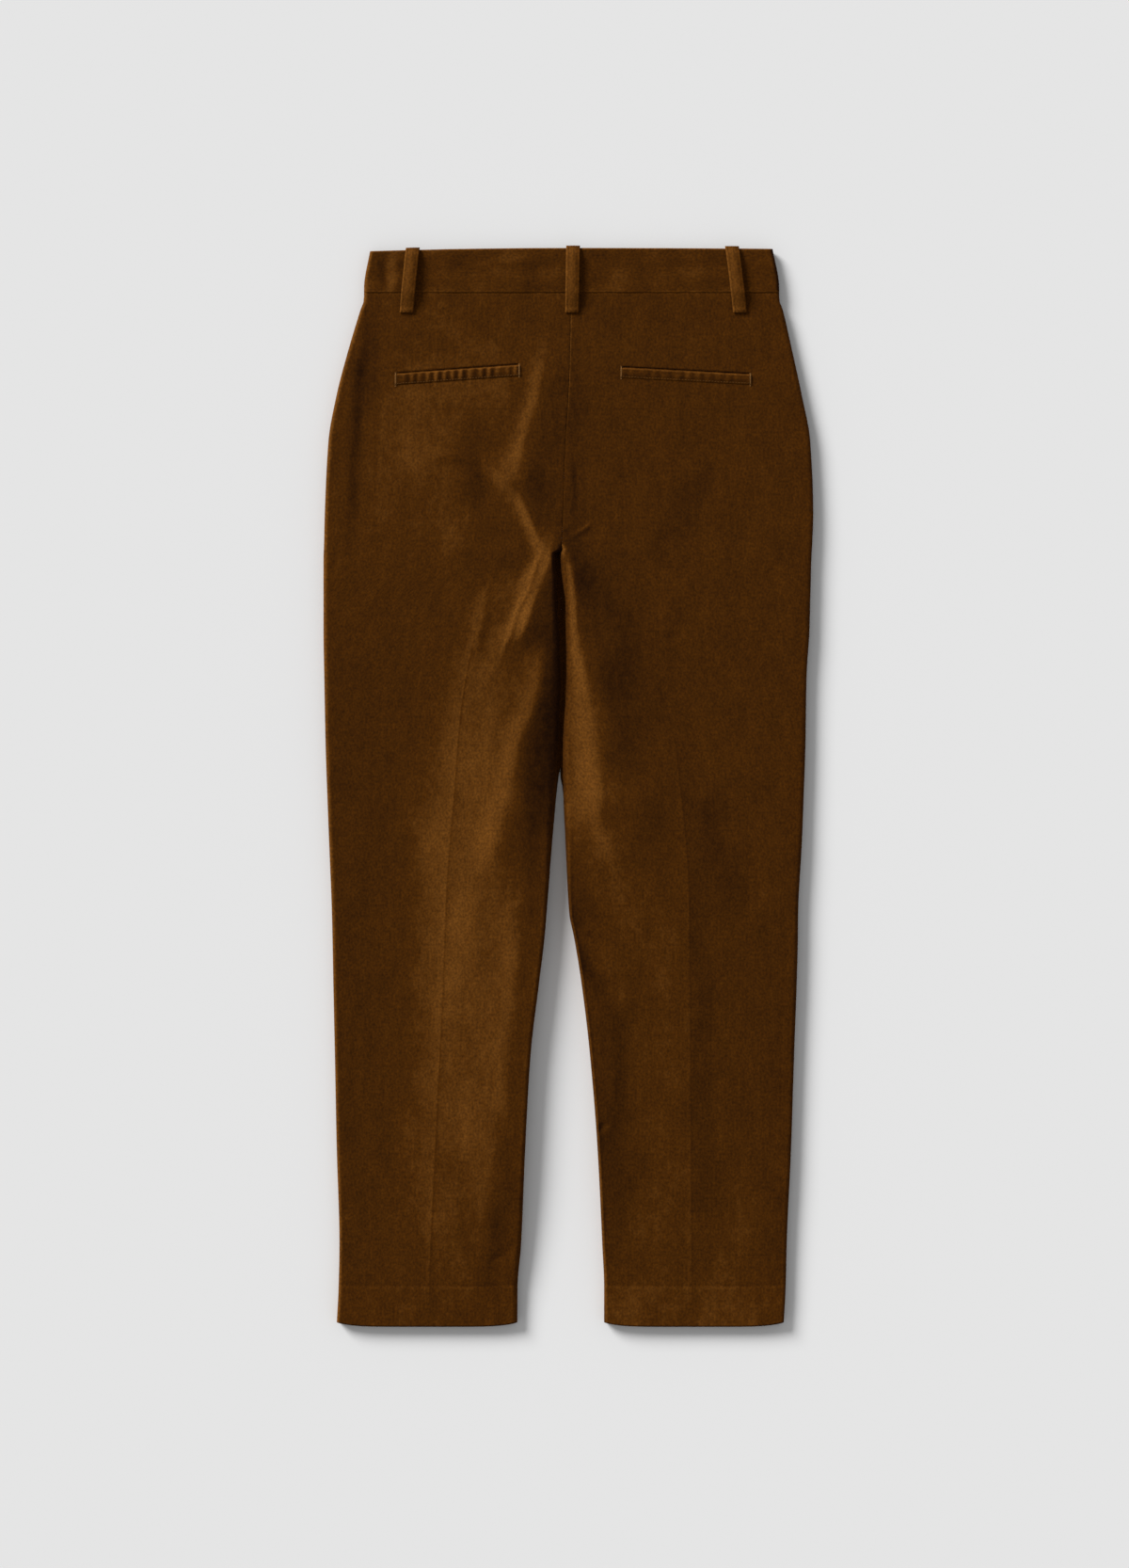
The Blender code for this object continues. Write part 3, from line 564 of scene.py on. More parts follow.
def fullness(side, x, down):
    """How far the cloth has left its side seams: 0 on a seam, 1 on the flat."""
    outer, inner = edges(side, down)
    from_outer = roll(np.abs(x - outer), HEIGHT["roll_out"](down))
    from_inner = roll(np.abs(x - inner), HEIGHT["roll_" + side](down))
    dive = np.clip((CROTCH_DOWN - down) / CROTCH_DIVE, 0.0, 1.0)
    turned_under = 1.0 - np.sqrt(1.0 - (1.0 - dive) ** 2)
    return from_outer * (1.0 - turned_under * (1.0 - from_inner))


def back_height(side, x, down):
    """Outer face of the back, without its small folds."""
    edge = seam_height(side, x, down) + SEAM_GAP / 2.0
    top = HEIGHT["top"](down) + fold_sum(FOLDS, *wandering(x, down, FOLD_WANDER))
    return edge + (top - edge) * fullness(side, x, down)


def closed(down, end):
    """1 from just below the crotch to a place on the legs, and 0 above and below."""
    starts = smooth_step((down - CROTCH_DOWN) / CLOSED_START)
    return starts * smooth_step((end + CLOSED_BLEND - down) / CLOSED_BLEND)


def front_height(side, x, down):
    """Outer face of the front, which is the underside.

    Where the fronts touch below the crotch they pass under the inner edges of the back.
    """
    edge = seam_height(side, x, down) - SEAM_GAP / 2.0
    under = edge - CLOTH * closed(down, CLOSED_TO + CLOSED_BLEND)
    return np.minimum(under, edge - (edge - HEIGHT["bed"](down)) * fullness(side, x, down))


def length_shift(side, x, down):
    """How far a point lies below its section, where the waist edge and hem curve."""
    to_side = toward_side(side, x, down)
    at_waist = np.clip(1.0 - down / BAND_DEPTH, 0.0, 1.0)
    at_hem = smooth_step((down - OUTSEAM + 2.0 * HEM_DEPTH) / (2.0 * HEM_DEPTH))
    corner = np.abs(2.0 * to_side - 1.0) ** HEM_CORNER
    return WAIST_DIP[side] * to_side ** 2 * at_waist - HEM_SAG * corner * at_hem


def place(side, x, down, z):
    """World point, in metres, of a place on the garment."""
    y = MIDDLE_DOWN - (down + length_shift(side, x, down))
    return np.stack(np.broadcast_arrays(x * MM, y * MM, z * MM), axis=-1)


# ---- fine relief
def soft_relief(x, down):
    """Low unevenness of a panel."""
    return unevenness(x, down, PANEL_WAVES)


def crease_strength(side, down, end):
    """How much of a pressed crease shows, which is most over the calf."""
    crease = CREASES[side]
    starts = smooth_step((down - crease.starts) / (crease.full - crease.starts))
    return starts * smooth_step((end - down) / CREASE_FADE)


def pressed_crease(side, x, down):
    """The pressed crease: a fine ridge on a low swell."""
    strength = CREASES[side].share * crease_strength(side, down, OUTSEAM + 10.0)
    strength = strength * (1.0 - CREASE_UNEVEN + CREASE_UNEVEN * np.sin(down / CREASE_WAVE))
    aside = np.abs(x - CREASE[side](down))
    return strength * (fading(CREASE_RIDGE, aside) + fading(CREASE_SWELL, aside))


def seam_relief(side, x, down):
    """Dip and small puckers along the centre back seam, and the tuck under the band."""
    from_seam = np.abs(x - EDGE[side + "_in"](down))
    held = smooth_step((CROTCH_DOWN - down) / SEAM_END)
    pucker = np.sin(down * 2.0 * math.pi / PUCKER_PITCH + 2.0 * np.sin(down / 31.0))
    seam = fading(SEAM_DIP, from_seam) + pucker * fading(SEAM_PUCKER, from_seam)
    return seam * held + fading(BAND_TUCK, np.clip(down - BAND_DEPTH, 0.0, None))


def rounded_over(distance, drop=FOLD_DROP, width=EDGE_ROUND):
    """Drop of a rounded edge, from how far inside it a place lies."""
    turned = np.clip(1.0 - distance / width, 0.0, 1.0)
    return drop * (1.0 - np.sqrt(1.0 - turned ** 2))


def hem_relief(x, down):
    """Step and blind-stitch line of the turned-up hem, and its rounded fold."""
    below = down - HEM_LINE
    step = HEM_STEP * smooth_step((below + HEM_STEP_OVER) / HEM_STEP_LENGTH)
    dimple = 0.5 + 0.5 * np.sin(x * 2.0 * math.pi / (HEM_SEWING.length + HEM_SEWING.gap))
    groove = HEM_GROOVE * (1.0 + dimple) * hump(below, HEM_GROOVE_WIDTH)
    return step - groove - rounded_over(OUTSEAM - down)


def side_of(piece):
    """Side of the garment that a loop or a welt is sewn to."""
    return LEFT if piece.x < 0 else RIGHT


def on_welt(welt, t, below):
    """Place at a share of the way along a welt, so far below the pocket's opening."""
    x = welt.x + (welt.to_x - welt.x) * t
    return x, welt.down + (welt.to_down - welt.down) * t + below


def along_welt(welt, x):
    """Share of the way along a welt, and how far down its opening lies there."""
    t = (x - welt.x) / (welt.to_x - welt.x)
    return t, on_welt(welt, t, 0.0)[1]


def welt_ripple(welt, t):
    """Uneven small gathers along a welt, strongest in its middle."""
    phase = t * welt.puckers * 2.0 * math.pi + 0.9 * np.sin(t * 9.0) + 0.5 * np.sin(t * 23.0)
    middle = 0.35 + 0.65 * np.sin(math.pi * np.clip(t, 0.0, 1.0)) ** 2
    return welt.pucker_height * np.sin(phase) * (0.72 + 0.28 * np.sin(t * 29.0 + 1.0)) * middle


def welt_relief(side, x, down):
    """Pocket opening above a welt, and the gathers that run out below it."""
    total = np.zeros(np.broadcast(x, down).shape)
    for welt in WELTS:
        if side_of(welt) == side:
            t, opening = along_welt(welt, x)
            inside = smooth_step(1.0 + t / WELT_ENDS) * smooth_step(1.0 + (1.0 - t) / WELT_ENDS)
            slit = -WELT_SLIT * hump(down - opening + WELT_SLIT_WIDTH, WELT_SLIT_WIDTH)
            below = np.clip(down - opening - welt.depth, 0.0, None)
            runs_out = np.where(down > opening, hump(below, GATHER_REACH), 0.0)
            ripple = PANEL_GATHER * welt_ripple(welt, t) * runs_out
            total = total + inside * (slit + ripple)
    return total


def fine_relief(side, x, down):
    """All that the fine shell of the back adds to its solid's form."""
    relief = fold_sum(WRINKLES, *wandering(x, down, WRINKLE_WANDER))
    relief = relief + pressed_crease(side, x, down) + unevenness(x, down, FINE_WAVES)
    relief = relief + soft_relief(x, down) + welt_relief(side, x, down) + seam_relief(side, x, down)
    return relief * fullness(side, x, down) ** 2 + hem_relief(x, down)


def painted_slope_shade(normal, most=SLOPE_SHADE_MOST, turn=SLOPE_SHADE_TURN):
    """Painted light and shade from the slope of the cloth: lighter where it faces the key light, darker
    where it turns away.
    """
    return most * np.tanh(normal @ LIT_SIDE / turn)


def nap_and_shade_tone(normal, x, down, tone):
    """Tone of the nap, with painted light and shade from the slope of the cloth and from the brushed
    table.
    """
    return tone + painted_slope_shade(normal) + brushed_and_shaded_sum(*wandering(x, down, NAP_WANDER))


def painted_edge_light_and_shade(side, x, down):
    """Painted light and shade that the table of edges adds to a panel's tone."""
    total = 0.0
    for row in EDGE_LIGHT_AND_SHADE:
        if row.edge.startswith(side):
            strength = row.tone * smooth_step((down - row.down) / row.length)
            total = total + strength * hump(x - EDGE[row.edge](down), row.width)
    return total


def line_tone(line, distance):
    return line.tone * hump(distance - line.aside, line.width)


def crease_and_hem_shade(side, x, down):
    """Painted shade in a fine dark line along a crease with painted light on its -X side, and at the hem a
    faint painted dark line above its upper edge and a lighter one below.
    """
    aside = x - CREASE[side](down)
    # painted light on the crease's -X side, which faces the key light
    west = fading(CREASE_WEST_LIGHT, np.abs(aside)) * (aside < 0)
    crease = crease_strength(side, down, OUTSEAM + 4.0) * (west + line_tone(CREASE_SHADE_LINE, aside))
    return crease + sum(line_tone(line, down - HEM_LINE) for line in HEM_LIGHT_AND_SHADE)


# ---- shells
SHARP_ANGLE = math.radians(50)


def evenly(start, end, count):
    return [start + (end - start) * step / count for step in range(count + 1)]


def turning(count):
    """Shares of a roll's width, closer at the edge it turns round."""
    return [1.0 - math.cos(step * math.pi / 2.0 / count) for step in range(count)]


def grid_normals(grid, outward):
    """Unit normals of a grid of points, turned to the side that outward (+1 or -1) says."""
    down_run = np.gradient(grid, axis=0)
    across_run = np.gradient(grid, axis=1)
    normal = np.cross(across_run, down_run)
    normal /= np.linalg.norm(normal, axis=-1, keepdims=True)
    return normal * np.sign(np.sum(normal[..., 2])) * outward


def rim_of(rows, columns):
    """Grid places once round the rim of a grid."""
    rim = [(0, column) for column in range(columns)]
    rim += [(row, columns - 1) for row in range(1, rows)]
    rim += [(rows - 1, column) for column in range(columns - 2, -1, -1)]
    rim += [(row, 0) for row in range(rows - 2, 0, -1)]
    return rim


def wall(name, face, back, cloth_map, tone):
    """One closed shell between two grids, with a map of the cloth and its nap tone, painted light and
    shade included.
    """
    rows, columns = face.shape[:2]
    count = rows * columns
    index = np.arange(count).reshape(rows, columns)
    quads = np.stack([index[:-1, :-1], index[:-1, 1:], index[1:, 1:], index[1:, :-1]], axis=-1)
    quads = quads.reshape(-1, 4)
    rim = np.array([index[spot] for spot in rim_of(rows, columns)])
    following = np.roll(rim, -1)
    sides = np.stack([rim, following, following + count, rim + count], axis=-1)
    faces = np.concatenate([quads, quads[:, ::-1] + count, sides[:, ::-1]])
    points = np.concatenate([face.reshape(-1, 3), back.reshape(-1, 3)])
    maps = np.concatenate([cloth_map.reshape(-1, 2)] * 2)
    tones = np.concatenate([np.broadcast_to(tone, (rows, columns)).ravel(), np.full(count, INSIDE_TONE)])
    return shell_object(name, points, faces.tolist(), maps, tones)


def in_scene(name, data):
    """A new object of the scene."""
    thing = bpy.data.objects.new(name, data)
    bpy.context.scene.collection.objects.link(thing)
    return thing


def shell_object(name, points, faces, maps, tones):
    """A mesh object at the origin, smooth, with faces outward, cloth map and nap tone with painted light
    and shade.
    """
    data = bpy.data.meshes.new(name)
    data.from_pydata(points.tolist(), [], faces)
    data.update()
    mesh = bmesh.new()
    mesh.from_mesh(data)
    bmesh.ops.recalc_face_normals(mesh, faces=mesh.faces)
    mesh.to_mesh(data)
    mesh.free()
    corner = np.empty(len(data.loops), dtype=np.int32)
    data.loops.foreach_get("vertex_index", corner)
    layer = data.uv_layers.new(name="cloth")
    layer.data.foreach_set("uv", maps[corner].astype(np.float32).ravel())
    nap = data.attributes.new("nap", "FLOAT", "POINT")
    nap.data.foreach_set("value", np.clip(tones, 0.0, 1.0).astype(np.float32))
    data.shade_smooth()
    data.set_sharp_from_angle(angle=SHARP_ANGLE)
    return in_scene(name, data)


CREASE_FAN = 6.0            # grid lines stand closer within this of a crease
CREASE_OFFSETS = (-4.0, -2.6, -1.6, -0.8, 0.0, 0.8, 1.6, 2.6, 4.0)
# Where a panel's grid lines change their step, and to which share of it.
WAIST_LINES = [(BAND_DEPTH, 0.35), (BAND_DEPTH + 3.0, 1.0)]
POCKET_LINES = [(106.0, 0.34), (130.0, 1.0)]
LEG_LINES = [(CROTCH_DOWN - CROTCH_DIVE - 2.0, 0.4), (CROTCH_DOWN + 8.0, 1.0), (HEM_LINE - 4.0, 0.4),
             (HEM_LINE + 4.0, 1.0), (OUTSEAM - EDGE_ROUND - 1.0, 0.16), (OUTSEAM, 1.0)]


def panel_stations(step, fine):
    """Sections of a panel, closer at the crotch, the hem and, if fine, the pocket openings."""
    lines = WAIST_LINES + (POCKET_LINES if fine else []) + LEG_LINES
    stations = []
    for (start, share), (end, _) in zip(lines, lines[1:]):
        count = max(1, round((end - start) / (step * share)))
        stations += evenly(start, end, count)[:-1]
    return np.array(stations + [OUTSEAM])


def panel_edges(side, down, front):
    """Cut edges of a panel at one section, with the seam clearance and the fly lap."""
    outer, inner = edges(side, down)
    if front:
        inner = inner + FLY_LAP * smooth_step((FLY_END - down) / FLY_BLEND)
        middle = (EDGE["left_in"](down) + EDGE["right_in"](down)) / 2.0
        middle += OUTWARD[side] * TOUCH_GAP / 2.0
        inner = inner + (middle - inner) * closed(down, CLOSED_TO)
    if down <= CROTCH_DOWN:
        inner += OUTWARD[side] * SEAM_GAP / 2.0
    return float(outer), float(inner)


def panel_columns(side, down, front, roll_steps, out_steps, in_steps):
    """x of a panel's columns at one section, closer round the rolls and at the crease."""
    outer, inner = panel_edges(side, down, front)
    width = abs(inner - outer)
    crease_at = abs(float(CREASE[side](down)) - outer)
    roll_out = float(HEIGHT["roll_out"](down))
    roll_in = float(HEIGHT["roll_" + side](down))
    turn = turning(roll_steps)
    across = [roll_out * part for part in turn]
    across += evenly(roll_out, crease_at - CREASE_FAN, out_steps)
    across += [crease_at + offset for offset in CREASE_OFFSETS]
    across += evenly(crease_at + CREASE_FAN, width - roll_in, in_steps)
    across += [width - roll_in * part for part in reversed(turn)]
    return [outer + math.copysign(distance, inner - outer) for distance in across]


def panel_places(side, stations, front, steps):
    """x and down of every grid point of a panel."""
    x = np.array([panel_columns(side, down, front, *steps) for down in stations])
    return x, np.broadcast_to(stations[:, None], x.shape)


def inner_grid(grid, stations, side, outward):
    """The face one cloth thickness inside a panel's outer face."""
    normal = grid_normals(grid, outward)
    away = OUTWARD[side]
    normal[:, 0] = (away, 0.0, 0.0)
    below = stations >= CROTCH_DOWN
    normal[below, -1] = (-away, 0.0, 0.0)
    normal[~below, -1, 0] = -away * np.maximum(-away * normal[~below, -1, 0], 0.0)
    normal /= np.linalg.norm(normal, axis=-1, keepdims=True)
    in_hem = smooth_step((stations - HEM_LINE) / HEM_STEP_OVER)
    thickness = CLOTH + (HEM_CLOTH - CLOTH) * in_hem
    return grid - normal * thickness[:, None, None] * MM


def cloth_map_of(side, x, down):
    """Place on the cloth: across the wales from the crease, and along them."""
    return np.stack([(x - CREASE[side](down)) * MM, down * MM], axis=-1)


def make_back(side):
    stations = panel_stations(step=2.5, fine=True)
    x, down = panel_places(side, stations, False, steps=(7, 42, 34))
    plain = back_height(side, x, down)
    relief = fine_relief(side, x, down)
    face = place(side, x, down, plain + relief)
    back = inner_grid(place(side, x, down, plain), stations, side, 1.0)
    back[..., 2] += np.minimum(relief + CLOTH / 2.0, 0.0) * MM
    # nap tone with painted light and shade from the slopes and the brushed table
    tone = nap_and_shade_tone(grid_normals(face, 1.0), x, down, PANEL_TONE[side])
    # painted shade along the crease and at the hem line, and painted light and shade on the edges
    tone = tone + crease_and_hem_shade(side, x, down) + painted_edge_light_and_shade(side, x, down)
    return wall("back_" + side + "_cloth", face, back, cloth_map_of(side, x, down), tone)


def make_front(side):
    stations = panel_stations(step=6.0, fine=False)
    x, down = panel_places(side, stations, True, steps=(5, 18, 12))
    face = place(side, x, down, front_height(side, x, down))
    back = inner_grid(face, stations, side, -1.0)
    # the same painted light and shade on the front
    tone = nap_and_shade_tone(grid_normals(face, -1.0), x, down, PANEL_TONE[side])
    return wall("front_" + side + "_cloth", face, back, cloth_map_of(side, x, down), tone)


# ---- waistband
def band_side(x, down):
    return LEFT if x < EDGE["left_in"](down) else RIGHT


def band_relief(x, down):
    """Soft waves of the band."""
    return fold_sum(BAND_FOLDS, x, down) + unevenness(x, down * BAND_SQUEEZE, BAND_WAVES)


def band_rounding(down):
    """How far the band's folded upper edge and its sewn lower edge fall away."""
    return rounded_over(down) + rounded_over(BAND_DEPTH - down, SEWN_DROP, SEWN_ROUND)


def band_point(x, down, front):
    """Outer and inner point of the band at one place."""
    side = band_side(x, down)
    full = float(fullness(side, x, down))
    if front:
        plain = float(front_height(side, x, down))
        outer = plain
    else:
        plain = float(back_height(side, x, down)) + BAND_PROUD_INSIDE * BAND_PROUD * full
        fine = float(band_relief(x, down)) - float(band_rounding(down))
        outer = plain + ((1.0 - BAND_PROUD_INSIDE) * BAND_PROUD + fine) * full
    lean = math.sqrt(max(0.0, 1.0 - full * full))
    toward_middle = -OUTWARD[side] * BAND_CLOTH * lean
    inward = BAND_CLOTH * full * (1.0 if front else -1.0)
    inner = place(side, x, down, plain + inward) + np.array((toward_middle * MM, 0.0, 0.0))
    return place(side, x, down, outer), inner


# Lines of the band's grid: below its upper edge, between, and above its lower edge.
BAND_UPPER = [0.0, 0.25, 0.7, 1.4, 2.6]
BAND_BETWEEN = evenly(4.5, BAND_DEPTH - 4.0, 14)
BAND_LOWER = [2.5, 1.2, 0.6, 0.04]
BAND_TURNING = turning(6)


def make_band(name, sides, ends, columns, front):
    """A length of waistband between two places on its run; an end of None is a side seam."""
    stations = BAND_UPPER + BAND_BETWEEN + [BAND_DEPTH - above for above in BAND_LOWER]
    faces, backs, places = [], [], []
    for down in stations:
        width = float(HEIGHT["roll_out"](down))
        rolls = [BAND_TURNING if end is None else [] for end in ends]
        first, last = (float(EDGE[side + "_out"](down)) if end is None else end(down)
                       for side, end in zip(sides, ends))
        x = [first + width * part for part in rolls[0]]
        x += evenly(first + width * bool(rolls[0]), last - width * bool(rolls[1]), columns)
        x += [last - width * part for part in reversed(rolls[1])]
        points = [band_point(value, down, front) for value in x]
        faces.append([outer for outer, _ in points])
        backs.append([inner for _, inner in points])
        places.append([(down * MM, value * MM) for value in x])
    face = np.array(faces)
    # painted light and shade from the band's slopes
    tone = BAND_TONE + painted_slope_shade(grid_normals(face, -1.0 if front else 1.0))
    # painted highlight along the band's folded lower edge
    lighter_edges = hump(np.array(stations) - BAND_DEPTH - BAND_EDGE_HIGHLIGHT.aside, BAND_EDGE_HIGHLIGHT.width)[:, None]
    tone = tone * (1.0 - lighter_edges) + (tone * BAND_HIGHLIGHT_KEEPS + BAND_EDGE_HIGHLIGHT.tone) * lighter_edges
    return wall(name + "_cloth", face, np.array(backs), np.array(places), tone)


def lap_end(gap):
    """Place, on the run of the band, of the fly lap's edge with a gap beside it."""
    return lambda down: float(EDGE["left_in"](down)) + FLY_LAP + gap


# One row a length of waistband: its two ends are at a side seam or at the lap.
Band = namedtuple("Band", "name sides ends columns front rests_on")
BANDS = [
    Band("waistband_back", (LEFT, RIGHT), (None, None), 150, False,
         ["waistband_front_left", "waistband_front_right"]),
    Band("waistband_front_left", (LEFT, LEFT), (None, lap_end(-SEAM_GAP / 2.0)), 40, True, ["floor"]),
    Band("waistband_front_right", (RIGHT, RIGHT), (lap_end(SEAM_GAP / 2.0), None), 40, True, ["floor"]),
]


# ---- loops
def back_skin(x, down):
    """Outer face of whatever the back loops lie on: the band, then the panel."""
    held = float(np.clip(down, 0.0, OUTSEAM))
    on_panel = float(smooth_step((down - BAND_DEPTH) / OFF_BAND))
    band = BAND_PROUD + float(band_relief(x, held))
    panel = float(soft_relief(x, held))
    return float(back_height(band_side(x, held), x, held)) + band + (panel - band) * on_panel


def loop_ring(thickness):
    """Outline of a loop's cross section: (aside, above) in order, with soft corners."""
    half = LOOP_WIDTH / 2.0
    soft = thickness * 0.5
    turns = [math.radians(angle) for angle in LOOP_CORNER]
    east = [(half - LOOP_BED, 0.0)]
    east += [(half - soft + soft * math.cos(turn), soft + soft * math.sin(turn)) for turn in turns]
    east += [(4.9, thickness), (LOOP_GROOVE, thickness - LOOP_CROWN), (3.4, thickness)]
    east += [(1.6, thickness + LOOP_CROWN)]
    west = [(-aside, above) for aside, above in reversed(east)]
    return [west[-1], (0.0, 0.0)] + east + [(0.0, thickness + LOOP_CROWN)] + west[:-1]


def swept(name, rings, maps, tones):
    """A closed shell through rings of the same number of points, flat at both ends."""
    count = len(rings[0])
    points = np.array(rings).reshape(-1, 3)
    faces = []
    for row in range(len(rings) - 1):
        for step in range(count):
            following = (step + 1) % count
            faces.append((row * count + step, row * count + following,
                          (row + 1) * count + following, (row + 1) * count + step))
    faces.append(tuple(range(count)))
    faces.append(tuple(range(len(points) - 1, len(points) - count - 1, -1)))
    return shell_object(name, points, faces, np.array(maps).reshape(-1, 2), np.array(tones).ravel())


def loop_light_and_shade(aside):
    """Tone across a loop: painted light to the west, which faces the key light, and painted shade in a
    groove along each edge.
    """
    edge = aside / (LOOP_WIDTH / 2.0)
    groove = 0.16 * math.exp(-((abs(aside) - LOOP_GROOVE) / 0.5) ** 2)
    return LOOP_TONE - 0.26 * edge ** 3 + 0.05 * abs(edge) - groove


def make_loop(loop, on_back):
    """A belt loop, arched over the band on the back and pressed flat on the front."""
    side = side_of(loop)
    first = -LOOP_OVER if on_back else -LOOP_FRONT_OVER
    last = LOOP_LENGTH - LOOP_OVER
    rings, maps, tones = [], [], []
    for down in evenly(first, last, 46):
        t = (down + LOOP_OVER) / LOOP_LENGTH
        x = loop.x + (loop.to_x - loop.x) * t
        turned = float(smooth_step((down - LOOP_TURNED) / 4.0))
        thickness = LOOP_CLOTH + (LOOP_END_CLOTH - LOOP_CLOTH) * turned
        thickness -= float(rounded_over(last - down, LOOP_END_DROP, LOOP_END_ROUND))
        ring = loop_ring(thickness if on_back else LOOP_FLAT)
        points = []
        for aside, above in ring:
            if on_back:
                wave = LOOP_WAVE * math.sin(down / 3.1 + loop.x) * (above > thickness * 0.9)
                z = back_skin(x + aside, down) + float(ARCH_RISE(down)) + above + wave
            else:
                z = float(HEIGHT["bed"](max(down, 0.0))) - SEAM_GAP - above
            points.append(place(side, x + aside, down, z))
        rings.append(points)
        maps.append([(aside * MM, down * MM) for aside, _ in ring])
        # painted light and shade across the loop
        tones.append([loop_light_and_shade(aside) for aside, _ in ring])
    return swept(loop.name + "_cloth", rings, maps, tones)


# ---- welts
def make_welt(welt):
    """A folded strip on the panel, unevenly puckered along its length."""
    side = side_of(welt)
    swells = WELT_UPPER + [(welt.depth - above, swell) for above, swell in WELT_LOWER]
    t = np.linspace(0.0, 1.0, 181)
    gathers = welt_ripple(welt, t)
    faces, backs, maps = [], [], []
    for below, swell in swells:
        x, down = on_welt(welt, t, below)
        panel = back_height(side, x, down) + soft_relief(x, down) + PANEL_GATHER * gathers
        under = panel + WELT_LIFT * swell
        ripple = gathers * min(1.0, 0.35 + below / 4.0)
        faces.append(place(side, x, down, under + (WELT_CLOTH + ripple) * swell))
        backs.append(place(side, x, down, under))
        maps.append(np.stack([down * MM, x * MM], axis=-1))
    face = np.array(faces)
    below = np.array([row[0] for row in swells])[:, None]
    # lighter lines along the welt's upper and lower edges
    lighter_edges = line_tone(WELT_LIP_LIGHTER, below) + welt.worn_foot * line_tone(WELT_FOOT_LIGHTER, below - welt.depth)
    # painted light and shade from the welt's slopes
    slope = painted_slope_shade(grid_normals(face, 1.0), WELT_SLOPE_SHADE_MOST, WELT_SLOPE_SHADE_TURN)
    tone = PANEL_TONE[side] + WELT_TONE + slope + lighter_edges
    return wall(welt.name + "_cloth", face, np.array(backs), np.array(maps), tone)


# ---- node trees
def feed(tree, socket, value):
    """Link a socket to another one or to a node's first output, or set its value."""
    if isinstance(value, bpy.types.Node):
        value = value.outputs[0]
    if isinstance(value, bpy.types.NodeSocket):
        tree.links.new(value, socket)
    else:
        socket.default_value = value


def fed(tree, node, **inputs):
    """A node with its inputs linked or set; a space in a name is written as _."""
    for name, value in inputs.items():
        feed(tree, node.inputs[name.replace("_", " ")], value)
    return node


def added(tree, kind, settings=None, **inputs):
    """A new node with its settings and inputs."""
    node = tree.nodes.new(kind)
    for name, value in (settings or {}).items():
        setattr(node, name, value)
    return fed(tree, node, **inputs)


def maths(tree, operation, first, second=0.0):
    node = added(tree, "ShaderNodeMath", {"operation": operation})
    feed(tree, node.inputs[0], first)
    feed(tree, node.inputs[1], second)
    return node


def plus(tree, *terms):
    return reduce(lambda first, second: maths(tree, "ADD", first, second), terms)


def times(tree, *terms):
    return reduce(lambda first, second: maths(tree, "MULTIPLY", first, second), terms)


def tree_sockets(tree, inputs, outputs):
    """Named inputs and outputs of a node tree, from tables of their names and kinds."""
    for in_out, sockets in (("INPUT", inputs), ("OUTPUT", outputs)):
        for name, kind in sockets.items():
            tree.interface.new_socket(name, in_out=in_out, socket_type="NodeSocket" + kind)


# ---- stitches
STITCH_INPUTS = {"Geometry": "Geometry", "Stitch Length": "Float", "Stitch Gap": "Float",
                 "Thread Width": "Float", "Slant": "Float", "Unevenness": "Float", "Seed": "Int",
                 "Thread": "Material"}


def stitch_tree():
    """Runs of stitches along the edges of a mesh: each a small padded thread."""
    tree = bpy.data.node_groups.new("stitch_run", "GeometryNodeTree")
    tree_sockets(tree, STITCH_INPUTS, {"Geometry": "Geometry"})
    given = tree.nodes.new("NodeGroupInput").outputs
    curve = added(tree, "GeometryNodeMeshToCurve", Mesh=given["Geometry"])
    pitch = plus(tree, given["Stitch Length"], given["Stitch Gap"])
    points = added(tree, "GeometryNodeCurveToPoints", {"mode": "LENGTH"}, Curve=curve, Length=pitch)
    turn = added(tree, "FunctionNodeAlignRotationToVector", {"axis": "X"},
                 Vector=points.outputs["Tangent"])

    bead = added(tree, "GeometryNodeMeshUVSphere", Segments=6, Rings=5, Radius=0.5)
    size = added(tree, "ShaderNodeCombineXYZ", X=given["Stitch Length"], Y=given["Thread Width"],
                 Z=given["Thread Width"])
    slant = added(tree, "ShaderNodeCombineXYZ", Z=given["Slant"])
    shaped = added(tree, "GeometryNodeTransform", Geometry=bead, Scale=size, Rotation=slant)
    least = maths(tree, "SUBTRACT", 1.0, given["Unevenness"])
    jitter = added(tree, "FunctionNodeRandomValue", {"data_type": "FLOAT_VECTOR"},
                   Min=least, Max=(1.0, 1.0, 1.0), Seed=given["Seed"])

    lay = added(tree, "GeometryNodeInstanceOnPoints", Points=points, Instance=shaped,
                Rotation=turn, Scale=jitter)
    real = added(tree, "GeometryNodeRealizeInstances", Geometry=lay)
    smooth = added(tree, "GeometryNodeSetShadeSmooth", Geometry=real)
    finish = added(tree, "GeometryNodeSetMaterial", Geometry=smooth, Material=given["Thread"])
    added(tree, "NodeGroupOutput", Geometry=finish)
    return tree


